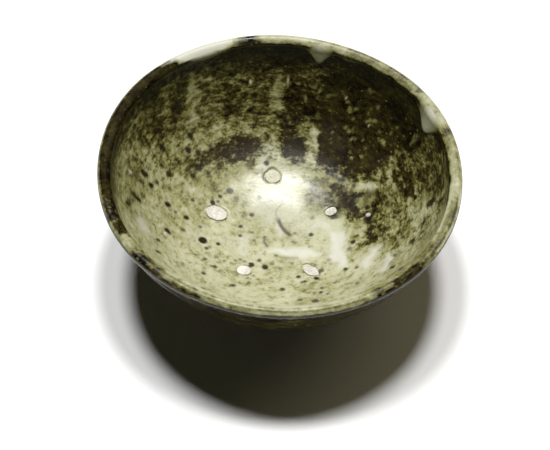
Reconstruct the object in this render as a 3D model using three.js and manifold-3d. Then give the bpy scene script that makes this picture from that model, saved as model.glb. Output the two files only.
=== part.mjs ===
// A wheel-thrown stoneware tea bowl with a poured and dipped ash glaze.
//
// The bowl is one firing of several materials, and each is its own solid here:
//   clay_body     the thrown wall, slightly out of round, with its spiral throwing marks
//   foot_ring     the turned ring it stands on, luted under the body
//   inner_glaze   the glaze poured inside, with five bare windows where wads stood
//   outer_glaze   the glaze the outside was dipped in, stopping short of the foot
//   rim_glaze     the band where both coats overlap on the lip, thicker, with runs
//   spur_scar_*   what is left of the five clay wads that parted it from the bowl stacked above
//
// Millimetres, +Z up. The origin is the centre of the foot's flat base.
import * as THREE from "three";
import { mergeVertices } from "three/addons/utils/BufferGeometryUtils.js";
import Module from "manifold-3d";

// Driving sizes
const HEIGHT = 63;
const RIM_RADIUS = 74.2;
const FOOT_HEIGHT = 8;
const FOOT_BASE_RADIUS = 27;
const FOOT_TOP_RADIUS = 28.4;
const FOOT_BORE_RADIUS = 21.4;
const FOOT_BORE_DRAFT = 0.9;
const FOOT_CHAMFER = 0.8;
const FLOOR_THICKNESS = 8.6;
const NUB_RADIUS = 7;
const NUB_DROP = 1.3;
const WALL_THICKNESS = 4.3;
const NECK_DEPTH = 5;
const LIP_OVERHANG = 1.4;
const LIP_WIDTH = 2.3;
const LIP_DROP = 1.6;
const LIP_ROUNDING = 1.1;
const THROAT_DEPTH = 1.6;

// Glaze coats
const INNER_GLAZE = 0.8;
const OUTER_GLAZE = 0.7;
const RIM_GLAZE = 1.2;
const GLAZE_EDGE_ROLL = 0.25;
const CUT_COAT_GAP = 0.03;
const BARE_BAND = 7;
const BARE_BAND_WAVE = 2;
const RIM_BAND_OUTSIDE = 5;
const RIM_BAND_INSIDE = 3;

// Runs of thick glaze hanging inside the lip: azimuth in degrees, then shares of the longest run's size
const RUN_LENGTH = 7.5;
const RUN_WIDTH = 13;
const RUNS = [
  { azimuth: 25, long: 1, wide: 1 },
  { azimuth: 65, long: 0.2, wide: 0.5 },
  { azimuth: 76, long: 0.8, wide: 0.65 },
  { azimuth: 118, long: 0.25, wide: 1.2 },
];

// What the hand left in the round: lobes are [number, height in mm, azimuth in degrees]
const RIM_LOBES = [
  [2, 0.8, -34],
  [4, 0.2, 41],
  [6, 0.15, -30],
];
const RIM_LEAN = 0.7;
const RIM_LEAN_AZIMUTH = 170;
const RIM_WAVE = 0.35;
const RIM_WAVE_AZIMUTH = 20;

// Spiral throwing marks
const OUTSIDE_MARK = { depth: 0.3, pitch: 13 };
const INSIDE_MARK = { depth: 0.14, pitch: 15 };

// The spur scars stand on a ring in the well: azimuth, then shares of the ring's radius and the scars' size
const SCAR_CLEARANCE = 0.3;
const SCAR_PROUD = 0.4;
const SCAR_RING = 27;
const SCAR_LENGTH = 8;
const SCAR_WIDTH = 6;
const SCARS = [
  { name: "left", azimuth: 165, out: 1.055, long: 1.17, short: 1.17, turn: -12 },
  { name: "front_left", azimuth: 238, out: 1, long: 0.81, short: 0.93, turn: 30 },
  { name: "front_right", azimuth: 302, out: 0.965, long: 1.19, short: 0.8, turn: -49 },
  { name: "right", azimuth: 24, out: 0.935, long: 0.68, short: 0.68, turn: 12 },
  { name: "back", azimuth: 96.5, out: 1.075, long: 0.86, short: 1.07, turn: 0 },
];

// Facets
const COLUMNS = 54;
const BARE_ROWS = 2;
const OUTSIDE_ROWS = 13;
const RIM_ROWS = 3;
const INSIDE_ROWS = 14;
const SCAR_SIDES = 12;

const TURN = 2 * Math.PI;
const radians = (degrees) => (degrees * Math.PI) / 180;
const smooth = (t) => t * t * (3 - 2 * t);

// How far a point is from the foot towards the lip, 0 to 1: the rim moved in the hand, the foot didn't
const riseShare = (z) => smooth(THREE.MathUtils.clamp((z - FOOT_HEIGHT) / (HEIGHT - FOOT_HEIGHT), 0, 1));

// A curve through stations given as [radius, height]
function curveThrough(stations) {
  const points = stations.map(([r, z]) => new THREE.Vector3(r, z, 0));
  return new THREE.CatmullRomCurve3(points, false, "centripetal");
}

// The outside of the wall, from the foot to the top of the lip. Its shape is given as stations between the
// foot and the neck: the share of the way out, and the share of the way up
const OUTSIDE_SHAPE = [
  [0.25, 0.14],
  [0.61, 0.35],
  [0.8, 0.56],
  [0.945, 0.78],
];
const neckRadius = RIM_RADIUS - LIP_OVERHANG;
const outside = curveThrough([
  [FOOT_TOP_RADIUS, FOOT_HEIGHT],
  ...OUTSIDE_SHAPE.map(([out, up]) => [
    THREE.MathUtils.lerp(FOOT_TOP_RADIUS, neckRadius, out),
    THREE.MathUtils.lerp(FOOT_HEIGHT, HEIGHT, up),
  ]),
  [neckRadius, HEIGHT - NECK_DEPTH],
  [RIM_RADIUS, HEIGHT - LIP_ROUNDING],
  [RIM_RADIUS - LIP_ROUNDING, HEIGHT],
]);

// The inside, from the top of the lip over its sloping face, round the crease of the throat and down to the
// middle of the well: the share of the hollow's radius, and the share of the well's depth
const INSIDE_SHAPE = [
  [1, 0.2],
  [0.908, 0.42],
  [0.78, 0.64],
  [0.605, 0.82],
  [0.4, 0.94],
  [0.2, 0.99],
  [0, 1],
];
const wellDepth = HEIGHT - FOOT_HEIGHT - FLOOR_THICKNESS;
const hollowRadius = neckRadius - WALL_THICKNESS;
const lipEdge = RIM_RADIUS - LIP_ROUNDING;
const throatRadius = lipEdge - LIP_WIDTH;
const inside = curveThrough([
  [lipEdge, HEIGHT],
  [lipEdge - 0.5 * LIP_WIDTH, HEIGHT - 0.35 * LIP_DROP],
  [throatRadius, HEIGHT - LIP_DROP],
  [THREE.MathUtils.lerp(throatRadius, hollowRadius, 0.15), HEIGHT - LIP_DROP - THROAT_DEPTH],
  ...INSIDE_SHAPE.map(([out, down]) => [out * hollowRadius, HEIGHT - down * wellDepth]),
]);
const outsideLength = outside.getLength();
const insideLength = inside.getLength();

// Where the thick rim band ends inside, in mm down from the top of the lip
function rimEdgeInside(angle) {
  let edge = RIM_BAND_INSIDE;
  for (const run of RUNS) {
    const away = Math.atan2(Math.sin(angle - radians(run.azimuth)), Math.cos(angle - radians(run.azimuth)));
    const across = (away * throatRadius) / (0.5 * run.wide * RUN_WIDTH);
    edge += run.long * RUN_LENGTH * Math.exp(-across * across);
  }
  return edge;
}

// Where the outer glaze stops, in mm up from the foot
const glazeLine = (angle) => BARE_BAND + BARE_BAND_WAVE * Math.sin(2 * angle + 1) * Math.cos(3 * angle);

// A throwing mark's depth: a spiral that fades out at both ends of its stretch
function throwingMark(mark, distance, length, angle) {
  const start = smooth(Math.min(1, distance / mark.pitch));
  const end = smooth(Math.min(1, (length - distance) / mark.pitch));
  return mark.depth * start * end * Math.cos((TURN * distance) / mark.pitch + angle);
}

// Points on the clay from the foot to the middle of the well, for one azimuth, as [radius, height]
function clayRows(angle) {
  const rows = [];
  const outsideAt = (distance) => {
    const p = outside.getPointAt(Math.min(1, distance / outsideLength));
    rows.push([p.x + throwingMark(OUTSIDE_MARK, distance, outsideLength, angle), p.y]);
  };
  const insideAt = (distance) => {
    const p = inside.getPointAt(Math.min(1, distance / insideLength));
    rows.push([Math.max(0, p.x), p.y + throwingMark(INSIDE_MARK, distance, insideLength, angle)]);
  };
  const line = glazeLine(angle);
  const band = outsideLength - RIM_BAND_OUTSIDE;
  const edge = rimEdgeInside(angle);
  for (let i = 0; i < BARE_ROWS; i++) outsideAt((line * i) / BARE_ROWS);
  for (let i = 0; i < OUTSIDE_ROWS; i++) outsideAt(line + ((band - line) * i) / OUTSIDE_ROWS);
  for (let i = 0; i < RIM_ROWS; i++) outsideAt(band + (RIM_BAND_OUTSIDE * i) / RIM_ROWS);
  for (let i = 0; i < RIM_ROWS; i++) insideAt((edge * i) / RIM_ROWS);
  for (let i = 0; i <= INSIDE_ROWS; i++) insideAt(edge + ((insideLength - edge) * i) / INSIDE_ROWS);
  return rows;
}

const GLAZE_START = BARE_ROWS;
const RIM_START = GLAZE_START + OUTSIDE_ROWS;
const RIM_END = RIM_START + 2 * RIM_ROWS;
const LAST_ROW = RIM_END + INSIDE_ROWS;

// The glaze's thickness on each row: the rim band swells from its neighbours' thickness
function glazeThickness(row) {
  if (row < RIM_START) return OUTER_GLAZE + GLAZE_EDGE_ROLL * Math.exp(-(row - GLAZE_START));
  if (row > RIM_END) return INNER_GLAZE;
  const across = (row - RIM_START) / (RIM_END - RIM_START);
  const edge = THREE.MathUtils.lerp(OUTER_GLAZE, INNER_GLAZE, across);
  return edge + (RIM_GLAZE - edge) * Math.sin(Math.PI * across);
}

// Turns [radius, height] at an azimuth into a point of the out-of-round bowl
function placed([r, z], angle) {
  const share = riseShare(z);
  let radius = r;
  for (const [number, height, azimuth] of RIM_LOBES) {
    radius += (share * height * r * Math.cos(number * (angle - radians(azimuth)))) / RIM_RADIUS;
  }
  const lean = RIM_LEAN * Math.cos(angle - radians(RIM_LEAN_AZIMUTH));
  const wave = RIM_WAVE * Math.cos(3 * (angle - radians(RIM_WAVE_AZIMUTH)));
  const lift = (share * r * (lean + wave)) / RIM_RADIUS;
  return new THREE.Vector3(radius * Math.cos(angle), radius * Math.sin(angle), z + lift);
}

// The clay's and the glaze's surfaces as rings of points, the last ring at the middle of the well.
// The coat that windows are cut in keeps a hair's gap to the clay, because a cut shifts its facets a little
const clayRings = Array.from({ length: LAST_ROW + 1 }, () => []);
const glazeRings = Array.from({ length: LAST_ROW + 1 }, () => []);
const seatRings = Array.from({ length: LAST_ROW + 1 }, () => []);
for (let column = 0; column < COLUMNS; column++) {
  const angle = (TURN * column) / COLUMNS;
  const rows = clayRows(angle);
  rows.forEach((point, row) => {
    const before = rows[Math.max(0, row - 1)];
    const after = rows[Math.min(LAST_ROW, row + 1)];
    const normal = new THREE.Vector2(after[1] - before[1], before[0] - after[0]).normalize();
    if (row === LAST_ROW) normal.set(0, 1);
    const raised = (by) => placed([point[0] + normal.x * by, point[1] + normal.y * by], angle);
    clayRings[row].push(raised(0));
    glazeRings[row].push(raised(glazeThickness(row)));
    seatRings[row].push(raised(CUT_COAT_GAP));
  });
}
const wellMiddle = (by) => [placed([0, HEIGHT - wellDepth + by], 0)];
clayRings[LAST_ROW] = wellMiddle(0);
glazeRings[LAST_ROW] = wellMiddle(INNER_GLAZE);
seatRings[LAST_ROW] = wellMiddle(CUT_COAT_GAP);

// Joins rings into a surface. A ring of one point is a pole, and a loop joins its last ring to its first
function surfaceOf(rings, isLoop) {
  const corners = [];
  const triangle = (a, b, c) => corners.push(a, b, c);
  const pairs = isLoop ? rings.length : rings.length - 1;
  for (let i = 0; i < pairs; i++) {
    const low = rings[i];
    const high = rings[(i + 1) % rings.length];
    for (let j = 0; j < COLUMNS; j++) {
      const k = (j + 1) % COLUMNS;
      if (low.length === 1) {
        triangle(low[0], high[k], high[j]);
      } else if (high.length === 1) {
        triangle(low[j], low[k], high[0]);
      } else if (low[j].distanceTo(high[k]) < low[k].distanceTo(high[j])) {
        triangle(low[j], low[k], high[k]);
        triangle(low[j], high[k], high[j]);
      } else {
        triangle(low[j], low[k], high[j]);
        triangle(low[k], high[k], high[j]);
      }
    }
  }
  return mergeVertices(new THREE.BufferGeometry().setFromPoints(corners), 1e-4);
}

// A flat ring of points round the axis
function levelRing(radius, z) {
  return Array.from({ length: COLUMNS }, (_, column) => {
    const angle = (TURN * column) / COLUMNS;
    return new THREE.Vector3(radius * Math.cos(angle), radius * Math.sin(angle), z);
  });
}

// A coat of glaze between two rows of the clay: its outer face one way and its seat on the clay back
function coatOf(first, last) {
  const face = glazeRings.slice(first, last + 1);
  const seat = clayRings.slice(first, last + 1).reverse();
  return surfaceOf([...face, ...seat], true);
}

function clayBody() {
  const underside = [[new THREE.Vector3(0, 0, FOOT_HEIGHT - NUB_DROP)], levelRing(NUB_RADIUS, FOOT_HEIGHT)];
  return surfaceOf([...underside, ...clayRings], false);
}

function footRing() {
  const boreTop = FOOT_BORE_RADIUS - FOOT_BORE_DRAFT;
  const profile = [
    [FOOT_BORE_RADIUS, FOOT_CHAMFER],
    [FOOT_BORE_RADIUS + FOOT_CHAMFER, 0],
    [FOOT_BASE_RADIUS - FOOT_CHAMFER, 0],
    [FOOT_BASE_RADIUS, FOOT_CHAMFER],
    [FOOT_BASE_RADIUS - 0.2, 0.55 * FOOT_HEIGHT],
    [FOOT_TOP_RADIUS, FOOT_HEIGHT],
    [boreTop, FOOT_HEIGHT],
  ];
  return surfaceOf(profile.map(([r, z]) => levelRing(r, z)), true);
}

// The height of the clay in the well at a point of the plan
const wellTable = inside.getSpacedPoints(400);
function wellHeight(x, y) {
  const r = Math.hypot(x, y);
  const i = wellTable.findIndex((p) => p.x <= r);
  const [outer, inner] = [wellTable[i - 1], wellTable[i]];
  const z = THREE.MathUtils.mapLinear(r, outer.x, inner.x, outer.y, inner.y);
  return placed([r, z], Math.atan2(y, x)).z;
}

// A scar's outline in plan, grown by a margin: an oval with a broken, uneven edge
function scarOutline(scar, margin) {
  const middle = radians(scar.azimuth);
  const turn = radians(scar.turn);
  return Array.from({ length: SCAR_SIDES }, (_, side) => {
    const around = (TURN * side) / SCAR_SIDES;
    const uneven = 1 + 0.07 * Math.cos(3 * around + middle) + 0.05 * Math.cos(5 * around - middle);
    const u = (0.5 * uneven * scar.long * SCAR_LENGTH + margin) * Math.cos(around);
    const v = (0.5 * uneven * scar.short * SCAR_WIDTH + margin) * Math.sin(around);
    return new THREE.Vector2(
      scar.out * SCAR_RING * Math.cos(middle) + u * Math.cos(turn) - v * Math.sin(turn),
      scar.out * SCAR_RING * Math.sin(middle) + u * Math.sin(turn) + v * Math.cos(turn),
    );
  });
}

// A scar: a low broken pad that follows the well, proud of the glaze round it
function spurScar(scar) {
  const outline = scarOutline(scar, 0);
  const middle = new THREE.Vector2();
  outline.forEach((p) => middle.addScaledVector(p, 1 / SCAR_SIDES));
  const seat = (p) => new THREE.Vector3(p.x, p.y, wellHeight(p.x, p.y) + SCAR_CLEARANCE);
  const crown = (p, share) => {
    const base = seat(p);
    base.z += (INNER_GLAZE - SCAR_CLEARANCE) + SCAR_PROUD * share;
    return base;
  };
  const inwards = (share) => outline.map((p) => middle.clone().lerp(p, share));
  const rings = [
    [seat(middle)],
    outline.map(seat),
    outline.map((p) => crown(p, 0.2)),
    inwards(0.7).map((p, i) => crown(p, i % 2 ? 1 : 0.75)),
    [crown(middle, 0.85)],
  ];
  const corners = [];
  for (let i = 0; i < rings.length - 1; i++) {
    for (let j = 0; j < SCAR_SIDES; j++) {
      const k = (j + 1) % SCAR_SIDES;
      const [low, high] = [rings[i], rings[i + 1]];
      if (low.length === 1) corners.push(low[0], high[k], high[j]);
      else if (high.length === 1) corners.push(low[j], low[k], high[0]);
      else corners.push(low[j], low[k], high[k], low[j], high[k], high[j]);
    }
  }
  return mergeVertices(new THREE.BufferGeometry().setFromPoints(corners), 1e-4);
}

// Cutting the windows for the scars out of the glaze
const wasm = await Module();
wasm.setup();

function solidOf(geometry) {
  const merged = mergeVertices(geometry, 1e-4);
  return new wasm.Manifold(
    new wasm.Mesh({
      numProp: 3,
      vertProperties: new Float32Array(merged.attributes.position.array),
      triVerts: new Uint32Array(merged.index.array),
    }),
  );
}

function geometryOf(solid) {
  const { vertProperties, triVerts } = solid.getMesh();
  return new THREE.BufferGeometry()
    .setAttribute("position", new THREE.BufferAttribute(vertProperties, 3))
    .setIndex(new THREE.BufferAttribute(triVerts, 1));
}

function windowCutter(scar) {
  const shape = new THREE.Shape(scarOutline(scar, SCAR_CLEARANCE));
  const cutter = new THREE.ExtrudeGeometry(shape, { depth: HEIGHT, bevelEnabled: false });
  cutter.deleteAttribute("normal");
  cutter.deleteAttribute("uv");
  return solidOf(cutter);
}

function innerGlaze() {
  const seat = seatRings.slice(RIM_END).reverse();
  const face = glazeRings.slice(RIM_END);
  let coat = solidOf(surfaceOf([...seat, ...face], false));
  for (const scar of SCARS) coat = coat.subtract(windowCutter(scar));
  return geometryOf(coat);
}

// The pieces
const clay = { color: 0x4a3f33, roughness: 0.85, metalness: 0 };
const glaze = { color: 0x7d8150, roughness: 0.25, metalness: 0 };
const darkGlaze = { color: 0x2e2a1c, roughness: 0.28, metalness: 0 };
const paleGlaze = { color: 0xa9ad86, roughness: 0.22, metalness: 0 };
const wadClay = { color: 0xd8d2c4, roughness: 0.9, metalness: 0 };

const bowl = new THREE.Group();
function add(name, geometry, finish) {
  const mesh = new THREE.Mesh(geometry, new THREE.MeshStandardMaterial(finish));
  mesh.name = name;
  bowl.add(mesh);
}

add("clay_body", clayBody(), clay);
add("foot_ring", footRing(), clay);
add("outer_glaze", coatOf(GLAZE_START, RIM_START), darkGlaze);
add("rim_glaze", coatOf(RIM_START, RIM_END), paleGlaze);
add("inner_glaze", innerGlaze(), glaze);
for (const scar of SCARS) add(`spur_scar_${scar.name}`, spurScar(scar), wadClay);

export default bowl;
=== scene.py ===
# %% [markdown]
# # Dressing a thrown tea bowl
# The bowl is stoneware: clay thrown on a wheel, turned at the foot, glazed with wood ash and fired in a kiln.
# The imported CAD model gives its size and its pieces. This lesson makes each piece again as a finer surface of
# the same shape, then gives each one the finish of the real material, and lights it as in a small studio.

# %% Load the frame
import math
import bmesh
import bpy
import numpy as np
from mathutils import Matrix, Vector, noise


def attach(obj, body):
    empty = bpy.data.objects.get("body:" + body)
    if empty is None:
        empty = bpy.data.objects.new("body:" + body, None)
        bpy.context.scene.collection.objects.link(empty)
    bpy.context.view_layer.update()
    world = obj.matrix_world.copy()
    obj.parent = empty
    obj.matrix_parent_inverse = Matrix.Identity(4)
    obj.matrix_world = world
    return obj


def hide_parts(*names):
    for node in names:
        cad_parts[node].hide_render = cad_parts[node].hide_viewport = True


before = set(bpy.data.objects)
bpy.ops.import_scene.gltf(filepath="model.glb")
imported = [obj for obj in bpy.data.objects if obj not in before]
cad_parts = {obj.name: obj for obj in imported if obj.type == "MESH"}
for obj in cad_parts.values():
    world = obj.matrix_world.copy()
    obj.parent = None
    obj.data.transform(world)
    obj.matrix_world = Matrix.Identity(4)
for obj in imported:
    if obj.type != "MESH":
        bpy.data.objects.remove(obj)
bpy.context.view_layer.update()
MM = 0.001
TURN = 2 * math.pi
WELD = 0.001 * MM

# %% [markdown]
# ## Helpers for node trees
# Geometry Nodes and materials are both trees of nodes. One function adds a node with its settings and what
# flows into it. A node given as an input means its first output. Another takes a colour as a paint chart
# writes it, in sRGB hex, and turns it to the linear values that light is computed in. The last two start a
# material and a Geometry Nodes tree.

# %% Nodes and colours
def add(tree, kind, inputs=None, **settings):
    """A node of that kind: settings are its own, and inputs are values or links by socket name or number."""
    node = tree.nodes.new(kind)
    for key, value in settings.items():
        setattr(node, key, value)
    for key, value in (inputs or {}).items():
        if isinstance(value, bpy.types.Node):
            value = value.outputs[0]
        if isinstance(value, bpy.types.NodeSocket):
            tree.links.new(value, node.inputs[key])
        else:
            node.inputs[key].default_value = value
    return node


def linear(text):
    parts = [int(text[i:i + 2], 16) / 255 for i in (1, 3, 5)]
    return [c / 12.92 if c <= 0.04045 else ((c + 0.055) / 1.055) ** 2.4 for c in parts] + [1]


def new_material(name, roughness, ior):
    material = bpy.data.materials.new(name)
    material.use_nodes = True
    shader = material.node_tree.nodes["Principled BSDF"]
    shader.inputs["Roughness"].default_value = roughness
    shader.inputs["IOR"].default_value = ior
    return material, material.node_tree, shader


def new_tree(name, kinds):
    """A Geometry Nodes tree with inputs of these kinds and one mesh out, and its sockets for the inputs."""
    tree = bpy.data.node_groups.new(name, "GeometryNodeTree")
    for label, kind in kinds.items():
        tree.interface.new_socket(label, in_out="INPUT", socket_type="NodeSocket" + kind)
    tree.interface.new_socket("Mesh", in_out="OUTPUT", socket_type="NodeSocketGeometry")
    return tree, add(tree, "NodeGroupInput").outputs


print("a mid grey of #808080 is", round(linear("#808080")[0], 3), "in linear light")

# %% [markdown]
# ## The profile
# A thrown bowl starts as one line: up the outside from the foot, over the lip, and down to the middle of the
# well. A Bezier curve could be drawn by eye, but a smooth curve through measured stations, as radius and
# height in millimetres, keeps the wall's thickness exact.

# %% Sizes and the two profile curves
HEIGHT, RIM_RADIUS = 63, 74.2
FOOT_HEIGHT, FOOT_BASE_RADIUS, FOOT_TOP_RADIUS = 8, 27, 28.4
FOOT_BORE_RADIUS, FOOT_BORE_DRAFT, FOOT_CHAMFER = 21.4, 0.9, 0.8
FLOOR_THICKNESS, NUB_RADIUS, NUB_DROP = 8.6, 7, 1.3
WALL_THICKNESS, NECK_DEPTH, LIP_OVERHANG = 4.3, 5, 1.4
LIP_WIDTH, LIP_DROP, LIP_ROUNDING, THROAT_DEPTH = 2.3, 1.6, 1.1, 1.6
MID_LIP, THROAT_TURN, SPAN_STEPS = (0.5, 0.35), 0.15, 60
OUTSIDE_SHAPE = [(0.25, 0.14), (0.61, 0.35), (0.8, 0.56), (0.945, 0.78)]
INSIDE_SHAPE = [(1, 0.2), (0.908, 0.42), (0.78, 0.64), (0.605, 0.82), (0.4, 0.94), (0.2, 0.99), (0, 1)]


def curve_through(stations):
    """A smooth curve through stations, as its points and the distance along it to each."""
    p = np.array(stations, float)
    p = np.vstack([2 * p[0] - p[1], p, 2 * p[-1] - p[-2]])
    t = np.linspace(0, 1, SPAN_STEPS, endpoint=False)[:, None]
    spans = []
    for a, b, c, d in zip(p, p[1:], p[2:], p[3:]):
        before, here, after = (np.hypot(*(v - u)) ** 0.5 for u, v in ((a, b), (b, c), (c, d)))
        leaving = ((b - a) / before - (c - a) / (before + here) + (c - b) / here) * here
        arriving = ((c - b) / here - (d - b) / (here + after) + (d - c) / after) * here
        spans.append(b * (2 * t**3 - 3 * t**2 + 1) + c * (3 * t**2 - 2 * t**3)
                     + leaving * (t**3 - 2 * t**2 + t) + arriving * (t**3 - t**2))
    points = np.vstack([*spans, p[-2:-1]])
    steps = np.hypot(*np.diff(points, axis=0).T)
    return points, np.concatenate([[0], np.cumsum(steps)])


neck = RIM_RADIUS - LIP_OVERHANG
hollow = neck - WALL_THICKNESS
lip_edge = RIM_RADIUS - LIP_ROUNDING
throat = lip_edge - LIP_WIDTH
well_depth = HEIGHT - FOOT_HEIGHT - FLOOR_THICKNESS
outside = curve_through([
    [FOOT_TOP_RADIUS, FOOT_HEIGHT],
    *[[FOOT_TOP_RADIUS + (neck - FOOT_TOP_RADIUS) * out, FOOT_HEIGHT + (HEIGHT - FOOT_HEIGHT) * up]
      for out, up in OUTSIDE_SHAPE],
    [neck, HEIGHT - NECK_DEPTH],
    [RIM_RADIUS, HEIGHT - LIP_ROUNDING],
    [lip_edge, HEIGHT],
])
inside = curve_through([
    [lip_edge, HEIGHT],
    [lip_edge - MID_LIP[0] * LIP_WIDTH, HEIGHT - MID_LIP[1] * LIP_DROP],
    [throat, HEIGHT - LIP_DROP],
    [throat + (hollow - throat) * THROAT_TURN, HEIGHT - LIP_DROP - THROAT_DEPTH],
    *[[hollow * out, HEIGHT - well_depth * down] for out, down in INSIDE_SHAPE],
])
outside_length, inside_length = outside[1][-1], inside[1][-1]
print(f"outside {outside_length:.1f} mm along the wall, inside {inside_length:.1f} mm")

# %% [markdown]
# ## The throwing marks and the uneven round
# The potter's finger leaves a spiral ridge: as the clay turns once, the finger rises by one pitch. Lifting the
# wet bowl off the wheel leaves its rim slightly out of round and leaning. Both are small formulas of the
# distance along the profile and the angle round it, so every piece can follow the same wall.

# %% Formulas of the wall
COLUMNS = 400
RIM_LOBES = [(2, 0.8, -34), (4, 0.2, 41), (6, 0.15, -30)]
RIM_LEAN, RIM_LEAN_AZIMUTH = 0.7, 170
RIM_WAVES, RIM_WAVE, RIM_WAVE_AZIMUTH = 3, 0.35, 20
OUTSIDE_MARK, OUTSIDE_PITCH = 0.3, 13
INSIDE_MARK, INSIDE_PITCH = 0.14, 15
angles = np.linspace(0, TURN, COLUMNS, endpoint=False)


def smooth(t):
    t = np.clip(t, 0, 1)
    return t * t * (3 - 2 * t)


def blended(values, goal, share):
    """Values moved towards a goal by a share of the way."""
    return values + (goal - values) * share


def mark_depth(depth, pitch, distance, length):
    """A ridge's depth, which fades out at both ends of its stretch."""
    return depth * smooth(distance / pitch) * smooth((length - distance) / pitch)


def on_wall(profile, mark, pitch, way, distance):
    """Radius and height on a profile whose ridges stand out one way, at a distance for each column."""
    points, along = profile
    d = np.broadcast_to(distance, angles.shape)
    ridge = mark_depth(mark, pitch, d, along[-1]) * np.cos(TURN * d / pitch + angles)
    r, z = (np.interp(d, along, points[:, i]) + way[i] * ridge for i in (0, 1))
    return np.stack([np.maximum(0, r), z], -1)


OUTSIDE = (outside, OUTSIDE_MARK, OUTSIDE_PITCH, (1, 0))
INSIDE = (inside, INSIDE_MARK, INSIDE_PITCH, (0, 1))


def placed(points):
    """Radius and height, one row of columns at a time, to places in the out-of-round bowl in mm."""
    r, z = points[..., 0], points[..., 1]
    share = smooth((z - FOOT_HEIGHT) / (HEIGHT - FOOT_HEIGHT)) * r / RIM_RADIUS
    lobes = sum(height * np.cos(n * (angles - math.radians(turn))) for n, height, turn in RIM_LOBES)
    lean = RIM_LEAN * np.cos(angles - math.radians(RIM_LEAN_AZIMUTH))
    wave = RIM_WAVE * np.cos(RIM_WAVES * (angles - math.radians(RIM_WAVE_AZIMUTH)))
    radius = r + share * lobes
    return np.stack([radius * np.cos(angles), radius * np.sin(angles), z + share * (lean + wave)], -1)


print("the rim is", round(2 * sum(height for _, height, _ in RIM_LOBES), 1), "mm out of round at most")

# %% [markdown]
# ## Bare clay and wad clay
# The body is iron-bearing stoneware clay. Where the glaze stops it fires to a dry, toasted brown with coarse
# sand in it: no gloss at all, so its roughness is near 0.85. Five wads of white refractory clay kept another
# bowl off the wet glaze. They broke away and left rough white pads. Both take their grain from noise whose
# scale is a real size: `Scale` is how many grains fit in a metre.

# %% Clay materials
SAND_GRAIN, CLAY_CLOUD, CLAY_IOR = 0.9, 9, 1.5


def fired_clay(name, light, dark, roughness, relief):
    material, tree, shader = new_material(name, roughness, CLAY_IOR)
    place = add(tree, "ShaderNodeTexCoord").outputs["Object"]
    sand = add(tree, "ShaderNodeTexNoise", {"Vector": place, "Scale": 1 / (SAND_GRAIN * MM), "Detail": 5,
                                            "Roughness": 0.65})
    cloud = add(tree, "ShaderNodeTexNoise", {"Vector": place, "Scale": 1 / (CLAY_CLOUD * MM), "Detail": 3})
    both = add(tree, "ShaderNodeMath", {0: sand.outputs["Fac"], 1: cloud.outputs["Fac"]}, operation="ADD")
    tone = add(tree, "ShaderNodeMapRange", {"Value": both, "From Min": 0.75, "From Max": 1.25})
    colour = add(tree, "ShaderNodeMix", {0: tone.outputs["Result"], 6: linear(light), 7: linear(dark)},
                 data_type="RGBA")
    tree.links.new(colour.outputs[2], shader.inputs["Base Color"])
    bump = add(tree, "ShaderNodeBump", {"Height": sand.outputs["Fac"], "Strength": relief,
                                        "Distance": 0.5 * SAND_GRAIN * MM})
    tree.links.new(bump.outputs["Normal"], shader.inputs["Normal"])
    return material


clay_material = fired_clay("bare_fired_stoneware", "#8F7355", "#59432F", 0.85, 0.7)
sand_material = fired_clay("coarse_feldspar_sand", "#CDBFA4", "#8E7B60", 0.7, 0.3)
wad_material = fired_clay("white_wad_clay", "#F0EDE2", "#B5ADA0", 0.9, 1.0)
wad_tree = wad_material.node_tree
wad_shader = wad_tree.nodes["Principled BSDF"]
glazed = add(wad_tree, "ShaderNodeAttribute", attribute_name="glazed").outputs["Fac"]
bare_colour = wad_shader.inputs["Base Color"].links[0].from_socket
runny = add(wad_tree, "ShaderNodeMix", {0: glazed, 6: bare_colour, 7: linear("#CFCEB6")}, data_type="RGBA")
gloss = add(wad_tree, "ShaderNodeMapRange", {"Value": glazed, "To Min": 0.9, "To Max": 0.3})
wad_tree.links.new(runny.outputs[2], wad_shader.inputs["Base Color"])
wad_tree.links.new(gloss.outputs[0], wad_shader.inputs["Roughness"])
print("clay materials:", clay_material.name, sand_material.name, wad_material.name)

# %% [markdown]
# ## Spinning a line on the wheel
# The clay wall and the foot are one line each, turned about an axis. The Screw modifier or the Spin tool would
# do for a perfect round. A Geometry Nodes tree can also carry the spiral ridge and the uneven rim as rules, so
# it is used here. It rolls out a sheet with a row for each point of the line, and then places every point
# of the sheet: its angle comes from its column, and its radius and height come from the line.

# %% The tree that spins a line
spin, given = new_tree("spun_on_the_wheel", {"Line": "Geometry", "Columns": "Int", "Tool Chatter": "Float",
                                             "Chatter Size": "Float", "Seed": "Float", "Clay": "Material"})
rows = add(spin, "GeometryNodeAttributeDomainSize", {0: given["Line"]}).outputs["Point Count"]
seam = add(spin, "ShaderNodeMath", {0: given["Columns"], 1: 1}, operation="ADD")
sheet = add(spin, "GeometryNodeMeshGrid", {"Vertices X": rows, "Vertices Y": seam}).outputs["Mesh"]
index = add(spin, "GeometryNodeInputIndex")
share = add(spin, "ShaderNodeMath", {0: index, 1: seam}, operation="DIVIDE")
row = add(spin, "ShaderNodeMath", {0: share}, operation="FLOOR")
column = add(spin, "ShaderNodeMath", {0: index, 1: seam}, operation="MODULO")
turned = add(spin, "ShaderNodeMath", {0: column, 1: given["Columns"]}, operation="DIVIDE")
angle = add(spin, "ShaderNodeMath", {0: turned, 1: TURN}, operation="MULTIPLY")

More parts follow.
